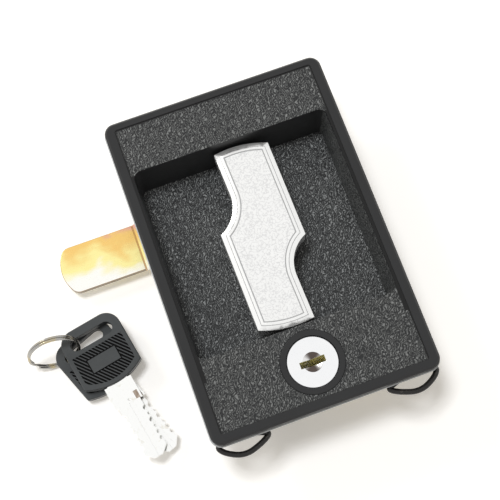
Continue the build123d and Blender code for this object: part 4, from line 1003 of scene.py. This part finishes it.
def wound(name, sides, section, radius, pitch, turns):
    """A section of so many sides and that radius, wound up along Z."""
    bpy.ops.object.select_all(action="DESELECT")
    bpy.ops.mesh.primitive_circle_add(vertices=sides, radius=section, rotation=(pi / 2, 0, 0))
    piece = bpy.context.object
    piece.name = name
    bpy.ops.object.transform_apply(rotation=True)
    bpy.ops.object.mode_set(mode="EDIT")
    bpy.ops.transform.translate(value=(radius, 0, 0))
    bpy.ops.object.mode_set(mode="OBJECT")
    winding = piece.modifiers.new("winding", "SCREW")
    winding.screw_offset = pitch
    winding.iterations = turns
    winding.steps = WINDING_STEPS
    winding.render_steps = WINDING_STEPS
    bpy.ops.object.modifier_apply(modifier=winding.name)
    bpy.ops.object.mode_set(mode="EDIT")
    bpy.ops.mesh.select_all(action="SELECT")
    bpy.ops.mesh.fill_holes(sides=0)
    bpy.ops.mesh.select_all(action="SELECT")
    bpy.ops.mesh.normals_make_consistent(inside=False)
    bpy.ops.object.mode_set(mode="OBJECT")
    bpy.ops.object.shade_smooth_by_angle(angle=SMOOTH_ANGLE)
    return piece


def settle(piece, place, rotation=(0, 0, 0)):
    """Moves a piece to its place, and puts that place into its mesh."""
    only(piece)
    piece.rotation_euler = rotation
    piece.location = place
    bpy.ops.object.transform_apply(location=True, rotation=True)


print("winding helper ready")

# %% [markdown]
# Beside each of the seven wafers lies a spring as thin as a pencil lead. One is wound along Z and
# laid along X at the first level. The others are copies of it, each with its own mesh, moved down by
# the wafers' spacing, which the frame's box gives.

# %% Wafer springs
SPRING_COUNT = 7
SPRING_WIRE = 0.09 * MM
SPRING_WIRE_SIDES = 8
SPRING_PITCH = 0.44 * MM
SPRING_TURNS = 6

low, high = (Vector(corner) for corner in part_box("wafer_springs"))
spring_outside = (high.y - low.y) / 2
spring_spacing = (high.z - low.z - 2 * spring_outside) / (SPRING_COUNT - 1)
spring_radius = spring_outside - SPRING_WIRE
first_spring = wound(
    "wafer_spring_1", SPRING_WIRE_SIDES, SPRING_WIRE, spring_radius, SPRING_PITCH, SPRING_TURNS,
)
settle(first_spring, (low.x + SPRING_WIRE, (low.y + high.y) / 2, high.z - spring_outside), (0, pi / 2, 0))
hand_over(first_spring, "wafer_springs")
for index in range(1, SPRING_COUNT):
    spring = bpy.data.objects.new(f"wafer_spring_{index + 1}", first_spring.data.copy())
    bpy.context.collection.objects.link(spring)
    settle(spring, (0, 0, -index * spring_spacing))
    hand_over(spring, "wafer_springs")
print(SPRING_COUNT, "springs,", round(spring_spacing / MM, 2), "mm apart")

# %% [markdown]
# The bolt and the screw are plain rods in the frame. Each shank is cut by two planes close together,
# where the thread begins, so that scaling the points beyond them towards the axis draws in the
# threaded length alone and leaves a short slope. The thread is then wound round it as a piece of its
# own, and its crests stand at the rod's old radius.

# %% Threads
THREAD_SIDES = 4
THREADS = {
    "tongue_bolt": {
        "radius": 3.0 * MM, "pitch": 1.0 * MM, "depth": 0.45 * MM, "turns": 9, "start": 5.6 * MM,
    },
    "cam_screw": {
        "radius": 2.0 * MM, "pitch": 0.7 * MM, "depth": 0.3 * MM, "turns": 5, "start": 3.9 * MM,
    },
}
for node, thread in THREADS.items():
    screw = rounded[node]
    low, high = (Vector(corner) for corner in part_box(node))
    axis_y = (low.y + high.y) / 2
    root = thread["radius"] - thread["depth"]
    slope_from = low.z + thread["start"] - thread["pitch"]
    slope_to = slope_from + thread["depth"]
    only(screw)
    bpy.ops.object.mode_set(mode="EDIT")
    for height in (slope_from, slope_to):
        bpy.ops.mesh.select_all(action="SELECT")
        bpy.ops.mesh.bisect(plane_co=(0, 0, height), plane_no=(0, 0, 1))
    bpy.ops.object.mode_set(mode="OBJECT")
    pick(screw, lambda point: point.z > slope_to - 0.01 * MM)
    bpy.ops.transform.resize(value=(root / thread["radius"],) * 2 + (1,), center_override=(0, axis_y, 0))
    bpy.ops.object.mode_set(mode="OBJECT")
    ridge = wound(f"{node}_thread", THREAD_SIDES, thread["depth"], root, thread["pitch"], thread["turns"])
    settle(ridge, (0, axis_y, low.z + thread["start"]))
    hand_over(ridge, node)
    print(node, "thread,", len(ridge.data.polygons), "faces")

# %% [markdown]
# The seal is a moulded rubber ring. A torus is only its start: where the two halves of its mould met
# there is a fine seam round the outside, so the outermost loop of points is drawn out a little.

# %% Shaft seal
SEAL_UNDERSIZE = 0.97
SEAM_PROUD = 1.004

low, high = (Vector(corner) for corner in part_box("shaft_seal"))
seal_section = (high.z - low.z) / 2
seal_outside = (high.x - low.x) / 2
seal_centre = (low + high) / 2
bpy.ops.object.select_all(action="DESELECT")
bpy.ops.mesh.primitive_torus_add(
    location=seal_centre, major_segments=72, minor_segments=16,
    major_radius=seal_outside - seal_section, minor_radius=SEAL_UNDERSIZE * seal_section,
)
seal = bpy.context.object
seal.name = "shaft_seal_moulded"
bpy.ops.object.transform_apply(location=True)
outermost = seal_outside - 0.05 * seal_section
pick(seal, lambda point: (point - seal_centre).xy.length > outermost)
bpy.ops.transform.resize(value=(SEAM_PROUD, SEAM_PROUD, 1), center_override=seal_centre)
bpy.ops.object.mode_set(mode="OBJECT")
bpy.ops.object.shade_smooth()
hand_over(seal, "shaft_seal")
print("seal", round(seal_outside * 2 / MM, 1), "mm across")

# %% [markdown]
# The Standard view shows each colour as it was written, with no film curve over it.

# %% Colour view
bpy.context.scene.view_settings.view_transform = "Standard"
